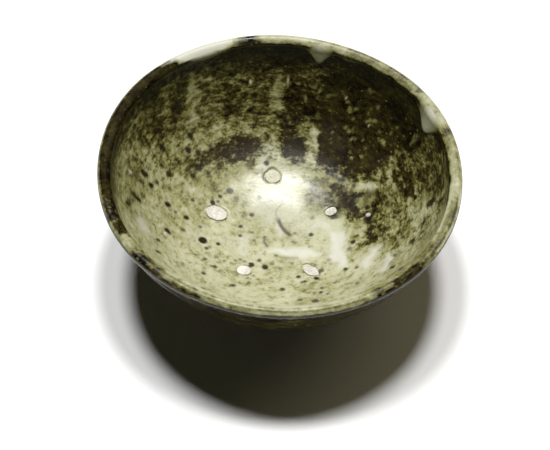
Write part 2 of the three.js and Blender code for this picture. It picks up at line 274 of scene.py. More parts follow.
sampled = {}
for label, kind in (("ridge", "FLOAT_VECTOR"), ("phase", "FLOAT"), ("bare", "FLOAT")):
    named = add(spin, "GeometryNodeInputNamedAttribute", {"Name": label}, data_type=kind)
    sampled[label] = add(spin, "GeometryNodeSampleIndex", {"Geometry": given["Line"], "Value": named,
                                                           "Index": row}, data_type=kind)
spot = add(spin, "GeometryNodeInputPosition")
section = add(spin, "GeometryNodeSampleIndex", {"Geometry": given["Line"], "Value": spot, "Index": row},
              data_type="FLOAT_VECTOR")
spiral = add(spin, "ShaderNodeMath", {0: sampled["phase"], 1: angle}, operation="ADD")
swing = add(spin, "ShaderNodeMath", {0: spiral}, operation="COSINE")
section = add(spin, "ShaderNodeVectorMath", {0: sampled["ridge"], 1: swing, 2: section},
              operation="MULTIPLY_ADD")
section = add(spin, "ShaderNodeSeparateXYZ", {0: section}).outputs
rise = add(spin, "ShaderNodeMapRange", {"Value": section["Z"], "From Min": FOOT_HEIGHT * MM,
                                        "From Max": HEIGHT * MM}, interpolation_type="SMOOTHSTEP")
share = add(spin, "ShaderNodeMath", {0: section["X"], 1: rise}, operation="MULTIPLY")
moved = {"out": 0.0, "up": 0.0}
for way, number, height, azimuth in [("out", *lobe) for lobe in RIM_LOBES] + [
        ("up", 1, RIM_LEAN, RIM_LEAN_AZIMUTH), ("up", RIM_WAVES, RIM_WAVE, RIM_WAVE_AZIMUTH)]:
    around = add(spin, "ShaderNodeMath", {0: angle, 1: number, 2: -number * math.radians(azimuth)},
                 operation="MULTIPLY_ADD")
    wave = add(spin, "ShaderNodeMath", {0: around}, operation="COSINE")
    moved[way] = add(spin, "ShaderNodeMath", {0: wave, 1: height / RIM_RADIUS, 2: moved[way]},
                     operation="MULTIPLY_ADD")
radius = add(spin, "ShaderNodeMath", {0: share, 1: moved["out"], 2: section["X"]}, operation="MULTIPLY_ADD")
height = add(spin, "ShaderNodeMath", {0: share, 1: moved["up"], 2: section["Z"]}, operation="MULTIPLY_ADD")
x, y = (add(spin, "ShaderNodeMath", {0: add(spin, "ShaderNodeMath", {0: angle}, operation=part),
                                     1: radius}, operation="MULTIPLY") for part in ("COSINE", "SINE"))
round_place = add(spin, "ShaderNodeCombineXYZ", {"X": x, "Y": y, "Z": height})
thrown = add(spin, "GeometryNodeSetPosition", {"Geometry": sheet, "Position": round_place})
thrown = add(spin, "GeometryNodeStoreNamedAttribute", {"Geometry": thrown, "Name": "bare",
                                                       "Value": sampled["bare"]}, data_type="FLOAT")
closed = add(spin, "GeometryNodeMergeByDistance", {"Geometry": thrown, "Distance": WELD})
grain = add(spin, "ShaderNodeMath", {0: 1.0, 1: given["Chatter Size"]}, operation="DIVIDE")
chatter = add(spin, "ShaderNodeTexNoise", {"W": given["Seed"], "Scale": grain, "Detail": 2},
              noise_dimensions="4D")
chatter = add(spin, "ShaderNodeMath", {0: chatter, 1: 0.5}, operation="SUBTRACT")
bare = add(spin, "GeometryNodeInputNamedAttribute", {"Name": "bare"}, data_type="FLOAT")
chatter = add(spin, "ShaderNodeMath", {0: chatter, 1: bare}, operation="MULTIPLY")
chatter = add(spin, "ShaderNodeMath", {0: chatter, 1: given["Tool Chatter"]}, operation="MULTIPLY")
facing = add(spin, "GeometryNodeInputNormal")
push = add(spin, "ShaderNodeVectorMath", {0: facing, "Scale": chatter}, operation="SCALE")
turned = add(spin, "GeometryNodeSetPosition", {"Geometry": closed, "Offset": push})
single = add(spin, "GeometryNodeRealizeInstances", {"Geometry": turned})
coated = add(spin, "GeometryNodeSetMaterial", {"Geometry": single, "Material": given["Clay"]})
add(spin, "NodeGroupOutput", {"Mesh": coated})
print(spin.name, "has", len(spin.nodes), "nodes")

# %% [markdown]
# ## Sand in the clay
# Coarse sand shows where the clay is bare. The same small grain repeats hundreds of times, which is what
# scattering is for: Distribute Points on Faces picks places where the clay is bare, and Instance on Points
# puts a grain on each, in a random size and turned to the surface. The seeds are fixed, so each run gives the
# same grains.

# %% The tree that scatters sand
sand, given = new_tree("sand_in_the_clay", {"Clay": "Geometry", "Grain Size": "Float", "Seed": "Int",
                                            "Grains in a Square Metre": "Float", "Grain Material": "Material"})
bare = add(sand, "GeometryNodeInputNamedAttribute", {"Name": "bare"}, data_type="FLOAT")
density = add(sand, "ShaderNodeMath", {0: bare, 1: given["Grains in a Square Metre"]}, operation="MULTIPLY")
spots = add(sand, "GeometryNodeDistributePointsOnFaces", {"Mesh": given["Clay"], "Density": density,
                                                         "Seed": given["Seed"]})
grain = add(sand, "GeometryNodeMeshIcoSphere", {"Radius": given["Grain Size"], "Subdivisions": 2})
size = add(sand, "FunctionNodeRandomValue", {"Min": (0.3, 0.3, 0.2), "Max": (1.1, 0.9, 0.6),
                                             "Seed": given["Seed"]}, data_type="FLOAT_VECTOR")
strewn = add(sand, "GeometryNodeInstanceOnPoints", {"Points": spots.outputs["Points"], "Instance": grain,
             "Rotation": spots.outputs["Rotation"], "Scale": size})
single = add(sand, "GeometryNodeRealizeInstances", {"Geometry": strewn})
coated = add(sand, "GeometryNodeSetMaterial", {"Geometry": single, "Material": given["Grain Material"]})
both = add(sand, "GeometryNodeJoinGeometry", {0: given["Clay"]})
sand.links.new(coated.outputs[0], both.inputs[0])
add(sand, "NodeGroupOutput", {"Mesh": both})
print(sand.name, "has", len(sand.nodes), "nodes")

# %% [markdown]
# ## From trees to plain pieces
# A modifier's inputs are set by their identifiers before the object is first evaluated. The result is then
# read back as a plain mesh, so nothing procedural is left for an exporter to drop. Every piece is finished the
# same way: doubles are merged, open ends closed, faces turned outwards, and smooth shading kept off edges.

# %% Growing and finishing a piece
SHARP_EDGE = math.radians(50)


def grown(mesh, tree, sizes):
    """The plain mesh that a tree makes of a mesh, with its named inputs set."""
    seedling = bpy.data.objects.new(tree.name, mesh)
    bpy.context.scene.collection.objects.link(seedling)
    modifier = seedling.modifiers.new(tree.name, "NODES")
    modifier.node_group = tree
    for item in tree.interface.items_tree:
        if item.in_out == "INPUT" and item.name in sizes:
            modifier[item.identifier] = sizes[item.name]
    graph = bpy.context.evaluated_depsgraph_get()
    result = bpy.data.meshes.new_from_object(seedling.evaluated_get(graph))
    seedling.modifiers.remove(modifier)
    bpy.data.objects.remove(seedling)
    return result


def finished(name, mesh, nodes):
    form = bmesh.new()
    form.from_mesh(mesh)
    bmesh.ops.remove_doubles(form, verts=form.verts, dist=WELD)
    bmesh.ops.holes_fill(form, edges=form.edges, sides=0)
    bmesh.ops.recalc_face_normals(form, faces=form.faces)
    form.to_mesh(mesh)
    form.free()
    for polygon in mesh.polygons:
        polygon.use_smooth = True
    mesh.set_sharp_from_angle(angle=SHARP_EDGE)
    obj = bpy.data.objects.new(name, mesh)
    bpy.context.scene.collection.objects.link(obj)
    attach(obj, "root")
    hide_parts(*nodes)
    print(name, "has", sum(len(p.vertices) - 2 for p in mesh.polygons), "triangles")
    return obj


def write(mesh, **named):
    """Writes values on a mesh's points as attributes, a number or a vector for each point."""
    for name, values in named.items():
        values = np.asarray(values, np.float32)
        kind, key = ("FLOAT", "value") if values.ndim == 1 else ("FLOAT_VECTOR", "vector")
        mesh.attributes.new(name, kind, "POINT").data.foreach_set(key, values.ravel())


def line_mesh(stations, ridges, phases, bares):
    """A profile line in metres, with the ridge, phase and bareness that the spinning tree reads."""
    mesh = bpy.data.meshes.new("line")
    mesh.from_pydata([(r * MM, 0, z * MM) for r, z in stations], [], [])
    write(mesh, ridge=ridges, phase=phases, bare=bares)
    return mesh


# %% [markdown]
# ## The clay wall
# The wall's line starts at the small nub that the turning tool leaves under the floor, runs out under the
# floor to the foot, and follows both profiles. Glaze covers most of it. Only the band above the foot and the
# hollow under the floor stay bare, so only they get tool chatter and sand.

# %% Spin the wall
BARE_BAND, BARE_BAND_WAVE = 7, 2
WALL_STEP, FLOOR_STEP, BARE_FADE, CLAY_COLUMNS = 0.9, 0.5, 2, 240
under = np.arange(0, FOOT_TOP_RADIUS, FLOOR_STEP)
nub = NUB_DROP * (1 - smooth(under / NUB_RADIUS))
out_steps = np.arange(0, outside_length, WALL_STEP)
in_steps = np.append(np.arange(0, inside_length, WALL_STEP), inside_length)
stations = np.vstack([
    np.stack([under, FOOT_HEIGHT - nub], -1),
    *[np.stack([np.interp(steps, along, points[:, i]) for i in (0, 1)], -1)
      for steps, (points, along) in ((out_steps, outside), (in_steps, inside))],
])
out_ridge = mark_depth(OUTSIDE_MARK, OUTSIDE_PITCH, out_steps, outside_length)
in_ridge = mark_depth(INSIDE_MARK, INSIDE_PITCH, in_steps, inside_length)
ridges = np.zeros((len(stations), 3))
ridges[len(under):len(under) + len(out_steps), 0] = out_ridge * MM
ridges[len(under) + len(out_steps):, 2] = in_ridge * MM
phases = TURN * np.concatenate([0 * under, out_steps / OUTSIDE_PITCH, in_steps / INSIDE_PITCH])
bare_share = smooth((BARE_BAND + BARE_BAND_WAVE + 0.5 * BARE_FADE - out_steps) / BARE_FADE)
bares = np.concatenate([0 * under + 1, bare_share, 0 * in_steps])
wall_line = line_mesh(stations, ridges, phases, bares)
SAND = {"Grain Size": 0.35 * MM, "Grains in a Square Metre": 90000, "Grain Material": sand_material}
wall_mesh = grown(wall_line, spin, {"Columns": CLAY_COLUMNS, "Tool Chatter": 0.25 * MM, "Chatter Size": 5 * MM,
                                    "Seed": 3.0, "Clay": clay_material})
wall_mesh = grown(wall_mesh, sand, {"Seed": 11, **SAND})
finished("thrown_clay_wall", wall_mesh, ["clay_body"])

# %% [markdown]
# ## The foot ring
# The foot was turned: leather-hard clay cut with an iron tool while the bowl spun upside down. Each turn of
# the tool leaves a fine groove. The line goes round the ring's section, and the same tree spins it.

# %% Spin the foot
TURNING_GROOVE, TURNING_PITCH, GROOVE_FADE = 0.12, 1.7, 2
FOOT_STEP, FOOT_BULGE, TOUCH = 0.35, (0.2, 0.55), 0.01
bore_top = FOOT_BORE_RADIUS - FOOT_BORE_DRAFT
corners = np.array([
    [bore_top, FOOT_HEIGHT], [FOOT_BORE_RADIUS, FOOT_CHAMFER], [FOOT_BORE_RADIUS + FOOT_CHAMFER, 0],
    [FOOT_BASE_RADIUS - FOOT_CHAMFER, 0], [FOOT_BASE_RADIUS, FOOT_CHAMFER],
    [FOOT_BASE_RADIUS - FOOT_BULGE[0], FOOT_BULGE[1] * FOOT_HEIGHT],
    [FOOT_TOP_RADIUS, FOOT_HEIGHT], [bore_top, FOOT_HEIGHT],
])
along = np.concatenate([[0], np.cumsum(np.hypot(*np.diff(corners, axis=0).T))])
steps = np.unique(np.concatenate([np.arange(0, along[-1], FOOT_STEP), along]))
stations = np.stack([np.interp(steps, along, corners[:, i]) for i in (0, 1)], -1)
level = stations[:, 1]
free = (level >= TOUCH) & (level <= FOOT_HEIGHT - TOUCH)
ridges = np.zeros((len(stations), 3))
fading = smooth(level / GROOVE_FADE) * smooth((FOOT_HEIGHT - level) / GROOVE_FADE)
ridges[:, 0] = -TURNING_GROOVE * MM * free * fading
foot_line = line_mesh(stations, ridges, TURN * steps / TURNING_PITCH, free * 1.0)
foot_mesh = grown(foot_line, spin, {"Columns": CLAY_COLUMNS, "Tool Chatter": 0.2 * MM, "Chatter Size": 4 * MM,
                                    "Seed": 8.0, "Clay": clay_material})
foot_mesh = grown(foot_mesh, sand, {"Seed": 12, **SAND})
finished("turned_foot_ring", foot_mesh, ["foot_ring"])

# %% [markdown]
# ## Glaze coats
# Glaze is a skin of glass. The outside was dipped and the inside was poured, so two coats meet on the lip,
# where the double skin is thicker and hangs down inside in a few runs. A coat could be a Solidify modifier on
# the wall. But its edges wave and its thickness varies, so each coat is built from rings of points here: its
# face stands off the clay by the glaze's thickness, and its seat lies on the clay.

# %% Rows of the coats
INNER_GLAZE, OUTER_GLAZE, RIM_GLAZE = 0.8, 0.7, 1.2
RIM_BAND_OUTSIDE, RIM_BAND_INSIDE = 5, 3
RUN_LENGTH, RUN_WIDTH = 7.5, 13
RUNS = [(25, 1, 1), (65, 0.2, 0.5), (76, 0.8, 0.65), (118, 0.25, 1.2)]
OUT_ROWS, LIP_ROWS, IN_ROWS, SEAT_STEP = 90, 16, 205, 10


def apart(azimuth):
    """How far round each column is from an azimuth, in radians."""
    return (angles - math.radians(azimuth) + np.pi) % TURN - np.pi


glaze_line = BARE_BAND + BARE_BAND_WAVE * np.sin(2 * angles + 1) * np.cos(3 * angles)
rim_edge = np.full(COLUMNS, float(RIM_BAND_INSIDE))
for azimuth, long, wide in RUNS:
    rim_edge += long * RUN_LENGTH * np.exp(-((apart(azimuth) * throat / (0.5 * wide * RUN_WIDTH)) ** 2))
band = outside_length - RIM_BAND_OUTSIDE
up_outside = [glaze_line + (band - glaze_line) * i / OUT_ROWS for i in range(OUT_ROWS)]
up_outside += [band + 0 * angles + RIM_BAND_OUTSIDE * i / LIP_ROWS for i in range(LIP_ROWS)]
down_inside = [rim_edge * i / LIP_ROWS for i in range(LIP_ROWS)]
down_inside += [rim_edge + (inside_length - rim_edge) * i / IN_ROWS for i in range(IN_ROWS + 1)]
wall = np.stack([on_wall(*OUTSIDE, d) for d in up_outside] + [on_wall(*INSIDE, d) for d in down_inside])
past_lip = np.stack([d - outside_length for d in up_outside] + down_inside)
RIM_START, RIM_END = OUT_ROWS, OUT_ROWS + 2 * LIP_ROWS
LAST = RIM_END + IN_ROWS
print("the wall under glaze has", wall.shape[0], "rows and", wall.shape[1], "columns")

# %% [markdown]
# ## Thickness
# The coat rolls up a little at its lower edge, swells on the lip, and shrinks away round the spur scars,
# where the wads kept it off the clay.

# %% Normals, thickness and windows
SCAR_RING, SCAR_LENGTH, SCAR_WIDTH = 27, 8, 6
SCARS = [
    (165, 1.055, 1.17, 1.17, -12), (238, 1, 0.81, 0.93, 30), (302, 0.965, 1.19, 0.8, -49),
    (24, 0.935, 0.68, 0.68, 12), (96.5, 1.075, 0.86, 1.07, 0),
]
SCAR_LOBES = [(3, 0.07, 1), (5, 0.05, -1)]
HAIR_GAP, WINDOW_EDGE, WINDOW_FADE = 0.03, 1.03, 0.2
EDGE_ROLL, EDGE_ROLL_ROWS, SWELL_ROWS, SWELL_BEFORE, SWELL_AFTER = 0.25, 3, 9, 4, 5
tangent = np.gradient(wall, axis=0)
normal = np.stack([tangent[..., 1], -tangent[..., 0]], -1)
normal /= np.linalg.norm(normal, axis=-1, keepdims=True) + 1e-12
normal[-1] = (0, 1)


def scar_share(x, y, scar):
    """How far a place is from a scar's middle, as a share of its outline, and the angle round it."""
    azimuth, out, long, short, turn = scar
    dx = x - out * SCAR_RING * math.cos(math.radians(azimuth))
    dy = y - out * SCAR_RING * math.sin(math.radians(azimuth))
    c, s = math.cos(math.radians(turn)), math.sin(math.radians(turn))
    u, v = (dx * c + dy * s) / (0.5 * long * SCAR_LENGTH), (dy * c - dx * s) / (0.5 * short * SCAR_WIDTH)
    around, middle = np.arctan2(v, u), math.radians(azimuth)
    outline = sum((size * np.cos(n * around + way * middle) for n, size, way in SCAR_LOBES), 1)
    return np.hypot(u, v) / outline, around


row = np.arange(LAST + 1)[:, None] * np.ones((1, COLUMNS))
thick = np.where(row <= RIM_START, OUTER_GLAZE + EDGE_ROLL * np.exp(-row / EDGE_ROLL_ROWS), INNER_GLAZE)
swell = smooth((row - RIM_START + SWELL_BEFORE) / SWELL_ROWS)
swell = swell * smooth((RIM_END + SWELL_AFTER - row) / SWELL_ROWS)
thick = blended(thick, RIM_GLAZE, swell)
clay = placed(wall)
for scar in SCARS:
    near, _ = scar_share(clay[..., 0], clay[..., 1], scar)
    window = smooth((near - WINDOW_EDGE) / WINDOW_FADE)
    thick = np.where(row > RIM_END, blended(HAIR_GAP, thick, window), thick)
face = placed(wall + normal * thick[..., None])
print("glaze from", round(float(thick.min()), 2), "to", round(float(thick.max()), 2), "mm thick")

# %% [markdown]
# ## Meshes of the coats
# Each ring of points is joined to the next. A seat needs few rings, because nobody sees it.

# %% Build the coats
def coat(name, first, last, node):
    """A coat on rows first to last. A band closes into a loop, and the inside one ends at the well's middle."""
    seat = sorted({*range(first, last + 1, SEAT_STEP), last}, reverse=True)
    shown = list(range(first, last + 1))
    loop = last != LAST
    grid = np.concatenate([face[shown], clay[seat]] if loop else [clay[seat], face[shown]])
    past = np.concatenate([past_lip[shown], past_lip[seat]] if loop else [past_lip[seat], past_lip[shown]])
    here = np.arange(COLUMNS)
    there = np.roll(here, -1)
    faces = []
    for i in range(len(grid) if loop else len(grid) - 1):
        a, b = i * COLUMNS, (i + 1) % len(grid) * COLUMNS
        faces.append(np.stack([a + here, a + there, b + there, b + here], -1))
    mesh = bpy.data.meshes.new(name)
    mesh.from_pydata((grid.reshape(-1, 3) * MM).tolist(), [], np.vstack(faces).tolist())
    write(mesh, past_lip=past.ravel())
    return finished(name, mesh, [node])


outer = coat("outer_ash_glaze", 0, RIM_START, "outer_glaze")
rim = coat("rim_ash_glaze", RIM_START, RIM_END, "rim_glaze")
inner = coat("inner_ash_glaze", RIM_END, LAST, "inner_glaze")

# %% [markdown]
# ## Spur scars
# The five scars are the same thing five times: a low pad of broken wad clay. One squashed sphere is
# instanced on five points. Each point carries its own size, turn and lean as attributes, and noise with a
# fixed seed then breaks the edges, so no two pads are alike.

# %% The tree that sets the pads
pads, given = new_tree("broken_wads", {"Places": "Geometry", "Thickness": "Float", "Break Depth": "Float",
                                       "Break Size": "Float", "Seed": "Float", "Wad Clay": "Material"})
pad = add(pads, "GeometryNodeMeshUVSphere", {"Segments": 48, "Rings": 32, "Radius": 1.0}).outputs["Mesh"]
parts = add(pads, "ShaderNodeSeparateXYZ", {0: add(pads, "GeometryNodeInputPosition")}).outputs
level = add(pads, "ShaderNodeMath", {0: parts["Z"]}, operation="ABSOLUTE")
level = add(pads, "ShaderNodeMath", {0: level, 1: 0.3}, operation="POWER")
side = add(pads, "ShaderNodeMath", {0: parts["Z"]}, operation="SIGN")
level = add(pads, "ShaderNodeMath", {0: level, 1: side}, operation="MULTIPLY")
flat = add(pads, "ShaderNodeCombineXYZ", {"X": parts["X"], "Y": parts["Y"], "Z": level})
pad = add(pads, "GeometryNodeSetPosition", {"Geometry": pad, "Position": flat})
own = {label: add(pads, "GeometryNodeInputNamedAttribute", {"Name": label}, data_type="FLOAT_VECTOR")
       for label in ("half_size", "facing", "turn")}
lean = add(pads, "FunctionNodeAlignRotationToVector", {"Vector": own["facing"]}, axis="Z")
swivel = add(pads, "FunctionNodeEulerToRotation", {0: own["turn"]})
stance = add(pads, "FunctionNodeRotateRotation", {"Rotation": lean, "Rotate By": swivel},
             rotation_space="LOCAL")
size = add(pads, "ShaderNodeSeparateXYZ", {0: own["half_size"]}).outputs
depth = add(pads, "ShaderNodeMath", {0: given["Thickness"], 1: 0.5}, operation="MULTIPLY")
size = add(pads, "ShaderNodeCombineXYZ", {"X": size["X"], "Y": size["Y"], "Z": depth})
set_down = add(pads, "GeometryNodeInstanceOnPoints", {"Points": given["Places"], "Instance": pad,
                                                      "Rotation": stance, "Scale": size})
single = add(pads, "GeometryNodeRealizeInstances", {"Geometry": set_down})
scale = add(pads, "ShaderNodeMath", {0: 1.0, 1: given["Break Size"]}, operation="DIVIDE")
rough = add(pads, "ShaderNodeTexNoise", {"W": given["Seed"], "Scale": scale, "Detail": 4, "Roughness": 0.6},
            noise_dimensions="4D").outputs[1]
rough = add(pads, "ShaderNodeVectorMath", {0: rough, 1: (0.5, 0.5, 0.5)}, operation="SUBTRACT")
rough = add(pads, "ShaderNodeVectorMath", {0: rough, "Scale": given["Break Depth"]}, operation="SCALE")
broken = add(pads, "GeometryNodeSetPosition", {"Geometry": single, "Offset": rough})
coated = add(pads, "GeometryNodeSetMaterial", {"Geometry": broken, "Material": given["Wad Clay"]})
add(pads, "NodeGroupOutput", {"Mesh": coated})
print(pads.name, "has", len(pads.nodes), "nodes")

# %% Set the pads in their windows
WAD_THICKNESS, WAD_HEIGHT = 1.1, 0.5
GLAZED_SCARS = [0.0, 0.0, 0.0, 0.0, 1.0]
well = np.concatenate([clay[RIM_END:], normal[RIM_END:]], -1)
places, facings = [], []
for azimuth, out, *_ in SCARS:
    column = int(round(azimuth / 360 * COLUMNS)) % COLUMNS
    nearest = np.abs(np.hypot(*well[:, column, :2].T) - out * SCAR_RING).argmin()
    x, y, z, lean_out, lean_up = well[nearest, column]
    outward = (math.cos(math.radians(azimuth)), math.sin(math.radians(azimuth)))
    places.append(((x + WAD_HEIGHT * lean_out * outward[0]) * MM, (y + WAD_HEIGHT * lean_out * outward[1]) * MM,
                   (z + WAD_HEIGHT * lean_up) * MM))
    facings.append((lean_out * outward[0], lean_out * outward[1], lean_up))
place_mesh = bpy.data.meshes.new("places")
place_mesh.from_pydata(places, [], [])
half_sizes = [(0.5 * MM * long * SCAR_LENGTH, 0.5 * MM * short * SCAR_WIDTH, 0)
              for _, _, long, short, _ in SCARS]
turns = [(0, 0, math.radians(turn)) for *_, turn in SCARS]
write(place_mesh, half_size=half_sizes, facing=facings, turn=turns, glazed=GLAZED_SCARS)
pad_mesh = grown(place_mesh, pads, {"Thickness": WAD_THICKNESS * MM, "Break Depth": 1.1 * MM,
                                    "Break Size": 2.2 * MM, "Seed": 5.0, "Wad Clay": wad_material})
finished("spur_scars", pad_mesh, [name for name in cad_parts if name.startswith("spur_scar_")])

# %% [markdown]
# ## Where iron, milk and specks lie
# The kiln painted this bowl. Iron-rich ash fell on the back right and melted to near black. Thick glaze went
# milky in runs and pools. Iron grains in the clay burst through as dark specks. Such features have places, so
# they are laid out in millimetres seen from above, and painted on the mesh as attributes. Fine
# mottling has no places, so it is left to noise in the material. A patch has an outline, a stroke has a path
# and a width, and a later one covers an earlier one, as paint does. Noise makes their edges wander. This
# noise starts from the clock unless it is given a seed, so it is given one, and each run paints the same bowl.
# Some layers are painted light and shade: shade under the back of the lip, shade at the glaze's edge round
# the scars, and part of the highlight on the well's floor.

# %% The painter's tools
DOT_FULL, DOT_FADE, WANDER_SEED = 0.9, 0.8, 19


def edge_distance(at, path, closed):
    """The distance from each place to a path. It is negative inside a closed one."""
    ends = np.array(path, float)
    starts = ends if closed else ends[:-1]
    stops = np.roll(ends, -1, axis=0) if closed else ends[1:]
    nearest, crossed = np.full(len(at), 1e9), np.zeros(len(at), int)
    for a, b in zip(starts, stops):
        along = np.clip(((at - a) @ (b - a)) / max(1e-9, (b - a) @ (b - a)), 0, 1)
        nearest = np.minimum(nearest, np.hypot(*(at - a - along[:, None] * (b - a)).T))
        if closed and a[1] != b[1]:
            level = (a[1] > at[:, 1]) != (b[1] > at[:, 1])
            crossed += level & (at[:, 0] < a[0] + (at[:, 1] - a[1]) * (b[0] - a[0]) / (b[1] - a[1]))
    return np.where(crossed % 2 == 1, -nearest, nearest)


def laid(values, at, layers):
    """Layers over the values, one over another: amount, width, softness and path. Width 0 makes it a patch."""
    for amount, width, soft, path in layers:
        mask = smooth(0.5 - (edge_distance(at, path, width == 0) - width / 2) / (2 * soft))
        values = blended(values, amount, mask)
    return values


def dotted(values, at, spots):
    """Dots laid on the values: x, y, radius and amount. The strongest wins."""
    for x, y, radius, amount in spots:
        mask = smooth(DOT_FULL - (np.hypot(at[:, 0] - x, at[:, 1] - y) - radius) / DOT_FADE)
        values = np.maximum(values, amount * mask)
    return values


def points_of(obj):
    points = np.zeros(len(obj.data.vertices) * 3, np.float32)
    obj.data.vertices.foreach_get("co", points)
    return points.reshape(-1, 3) / MM


def past_of(obj):
    """How far past the lip each point of a coat is, in mm. It is more than 0 inside."""
    past = np.zeros(len(obj.data.vertices), np.float32)
    obj.data.attributes["past_lip"].data.foreach_get("value", past)
    return past


def azimuths(points):
    return np.degrees(np.arctan2(points[:, 1], points[:, 0]))


def run_at(azimuth):
    """How far the glaze runs down at an azimuth, as a share of the longest run."""
    return (np.interp(azimuth, np.degrees(angles), rim_edge, period=360) - RIM_BAND_INSIDE) / RUN_LENGTH


def wandering(points, size, reach):
    """How far noise pushes each place in plan, so that painted edges look poured."""
    return reach * np.array([noise.noise_vector(Vector(p) / size)[:2] for p in points.tolist()])


def paint(obj, **shares):
    write(obj.data, **{name: np.clip(values, 0, 1) for name, values in shares.items()})


noise.seed_set(WANDER_SEED)

# %% The layers
IRON = [
    (0.22, 0, 8, [(-75, 14), (-50, 12), (-40, 24), (-22, 34), (-10, 44), (0, 75), (-75, 75)]),
    (0.4, 0, 5, [(-36, 58), (-24, 48), (-14, 50), (-4, 46), (4, 48), (2, 66), (-10, 72), (-36, 66)]),
    (0.2, 0, 6, [(46, -20), (56, -28), (72, -10), (72, 40), (58, 34), (44, 6), (37, -12)]),
    (0.8, 0, 3, [(0, 44), (8, 48), (17, 47), (18, 62), (10, 68), (-1, 67)]),
    (1.0, 0, 2, [(16.5, 48), (17, 42), (16, 33.5), (25, 31.5), (30, 30.5), (28, 28), (33, 24.5), (44, 24.5),
        (48, 28), (53, 24), (60, 22), (70, 24), (64, 42), (52, 54), (40, 60), (28, 64), (18, 62)]),
    (0.55, 0, 3, [(48, 27), (51, 16), (56, 9), (62, 9), (69, 8), (70, 26), (60, 26)]),
    (0.6, 0, 2, [(31, 25), (44, 25), (41, 21.5), (35, 21.5)]),
    (0.9, 0, 2, [(0, 37), (11, 38), (12, 47), (0, 46)]), (0.6, 4, 3, [(-37, 27), (-32, 31), (-27, 35)]),
    (0.8, 7, 3, [(-26, 36), (-19, 39.5), (-12, 41), (-9.5, 40.5)]),
    (0.7, 3, 2.5, [(-26, 31.5), (-20, 35), (-13, 37)]), (0.32, 5, 2.5, [(-5, 46), (-5, 38)]),
    (0.65, 3, 2, [(5.5, 35.5), (9, 35)]), (0.6, 3, 2, [(20, 31), (25, 30), (29, 26)]),
    (0.62, 6, 3, [(25, 21.5), (28, 18), (30, 14), (33, 9), (34, 5)]), (0.6, 2, 1.2, [(31, 17), (35.5, 16)]),
    (0.62, 4, 2.5, [(46, 24), (44, 17), (44, 10), (41, 7)]), (0.45, 4, 2.5, [(33, -7), (34, -11)]),
    (0.68, 0, 2.5, [(36.5, 5), (38.5, -4), (37, -12), (42, -12), (47.5, -7), (48, -1), (45, 3), (40, 6)]),
    (0.95, 2, 0.9, [(49.5, 21), (51, 16), (53.5, 11), (54, 6.5)]),
    (0.95, 1.7, 0.9, [(52, 25), (54, 19), (55.5, 12), (56.5, 6), (58, 3.2)]),
    (0.15, 3, 1.5, [(36, 20.5), (42, 17)]), (0.3, 2, 1.2, [(47.5, 22), (49, 15), (51, 8.5), (53, 5)]),
    (0.3, 3, 1.5, [(10, 48), (12.8, 42), (13.8, 39), (15, 33)]), (0.05, 5, 2, [(-1, 62), (-2, 56.5)]),
    (0.12, 2.4, 1.5, [(-39.5, 55), (-38.5, 46), (-36.5, 42)]),
]
MILK = [
    (0.34, 0, 5, [(-9, 15), (-9, 29), (5, 33), (10, 27), (10, 14), (21, 8), (20, -2), (6, -4), (3, 8)]),
    # This patch on the well's floor is partly milky glaze pooled there and partly a painted highlight, where
    # the lamps reflect.
    (0.52, 0, 5, [(-8, 27), (-16, 19), (-13, 10), (-5, 4), (7, 5), (10, 16), (5, 26)]),
    (0.88, 0, 2.4, [(22.6, -1), (29, -1), (28.5, -9), (29.5, -16), (28.5, -23), (25, -23.5), (24.5, -19),
        (21.5, -13), (23.2, -7)]), (0.85, 5.4, 2.6, [(41, -16), (36.8, -24)]),
    (0.8, 2.8, 2.2, [(47.2, -22.5), (43.2, -31.5)]),
    (0.84, 0, 2.4, [(-1, -8), (12, -9), (18, -12), (16, -15), (8, -14.5), (2, -12.8), (-8, -12)]),
    (0.6, 4.5, 2, [(17, 3), (22, 2)]), (0.5, 6, 2.5, [(-15, -5), (-15, -11)]),
    (0.35, 5, 2.5, [(-28, -6), (-20, -6)]), (0.6, 3, 1.5, [(0, 3), (1, -1)]),
    (0.35, 4, 2.5, [(-33, -2), (-34, -5)]), (0.3, 5, 2.5, [(-37, -7), (-38, -10)]),
    (0.62, 5, 3, [(-57.5, -13), (-56, -18)]), (0.45, 3, 2, [(37, 19), (41, 17.5)]),
    (0.35, 2, 1.5, [(48, 19), (50, 12)]), (0.25, 3, 1.5, [(13.5, 46), (14.5, 36)]),
    (0.9, 1.6, 0.7, [(-9, 33), (-6.5, 33.2)]),
]
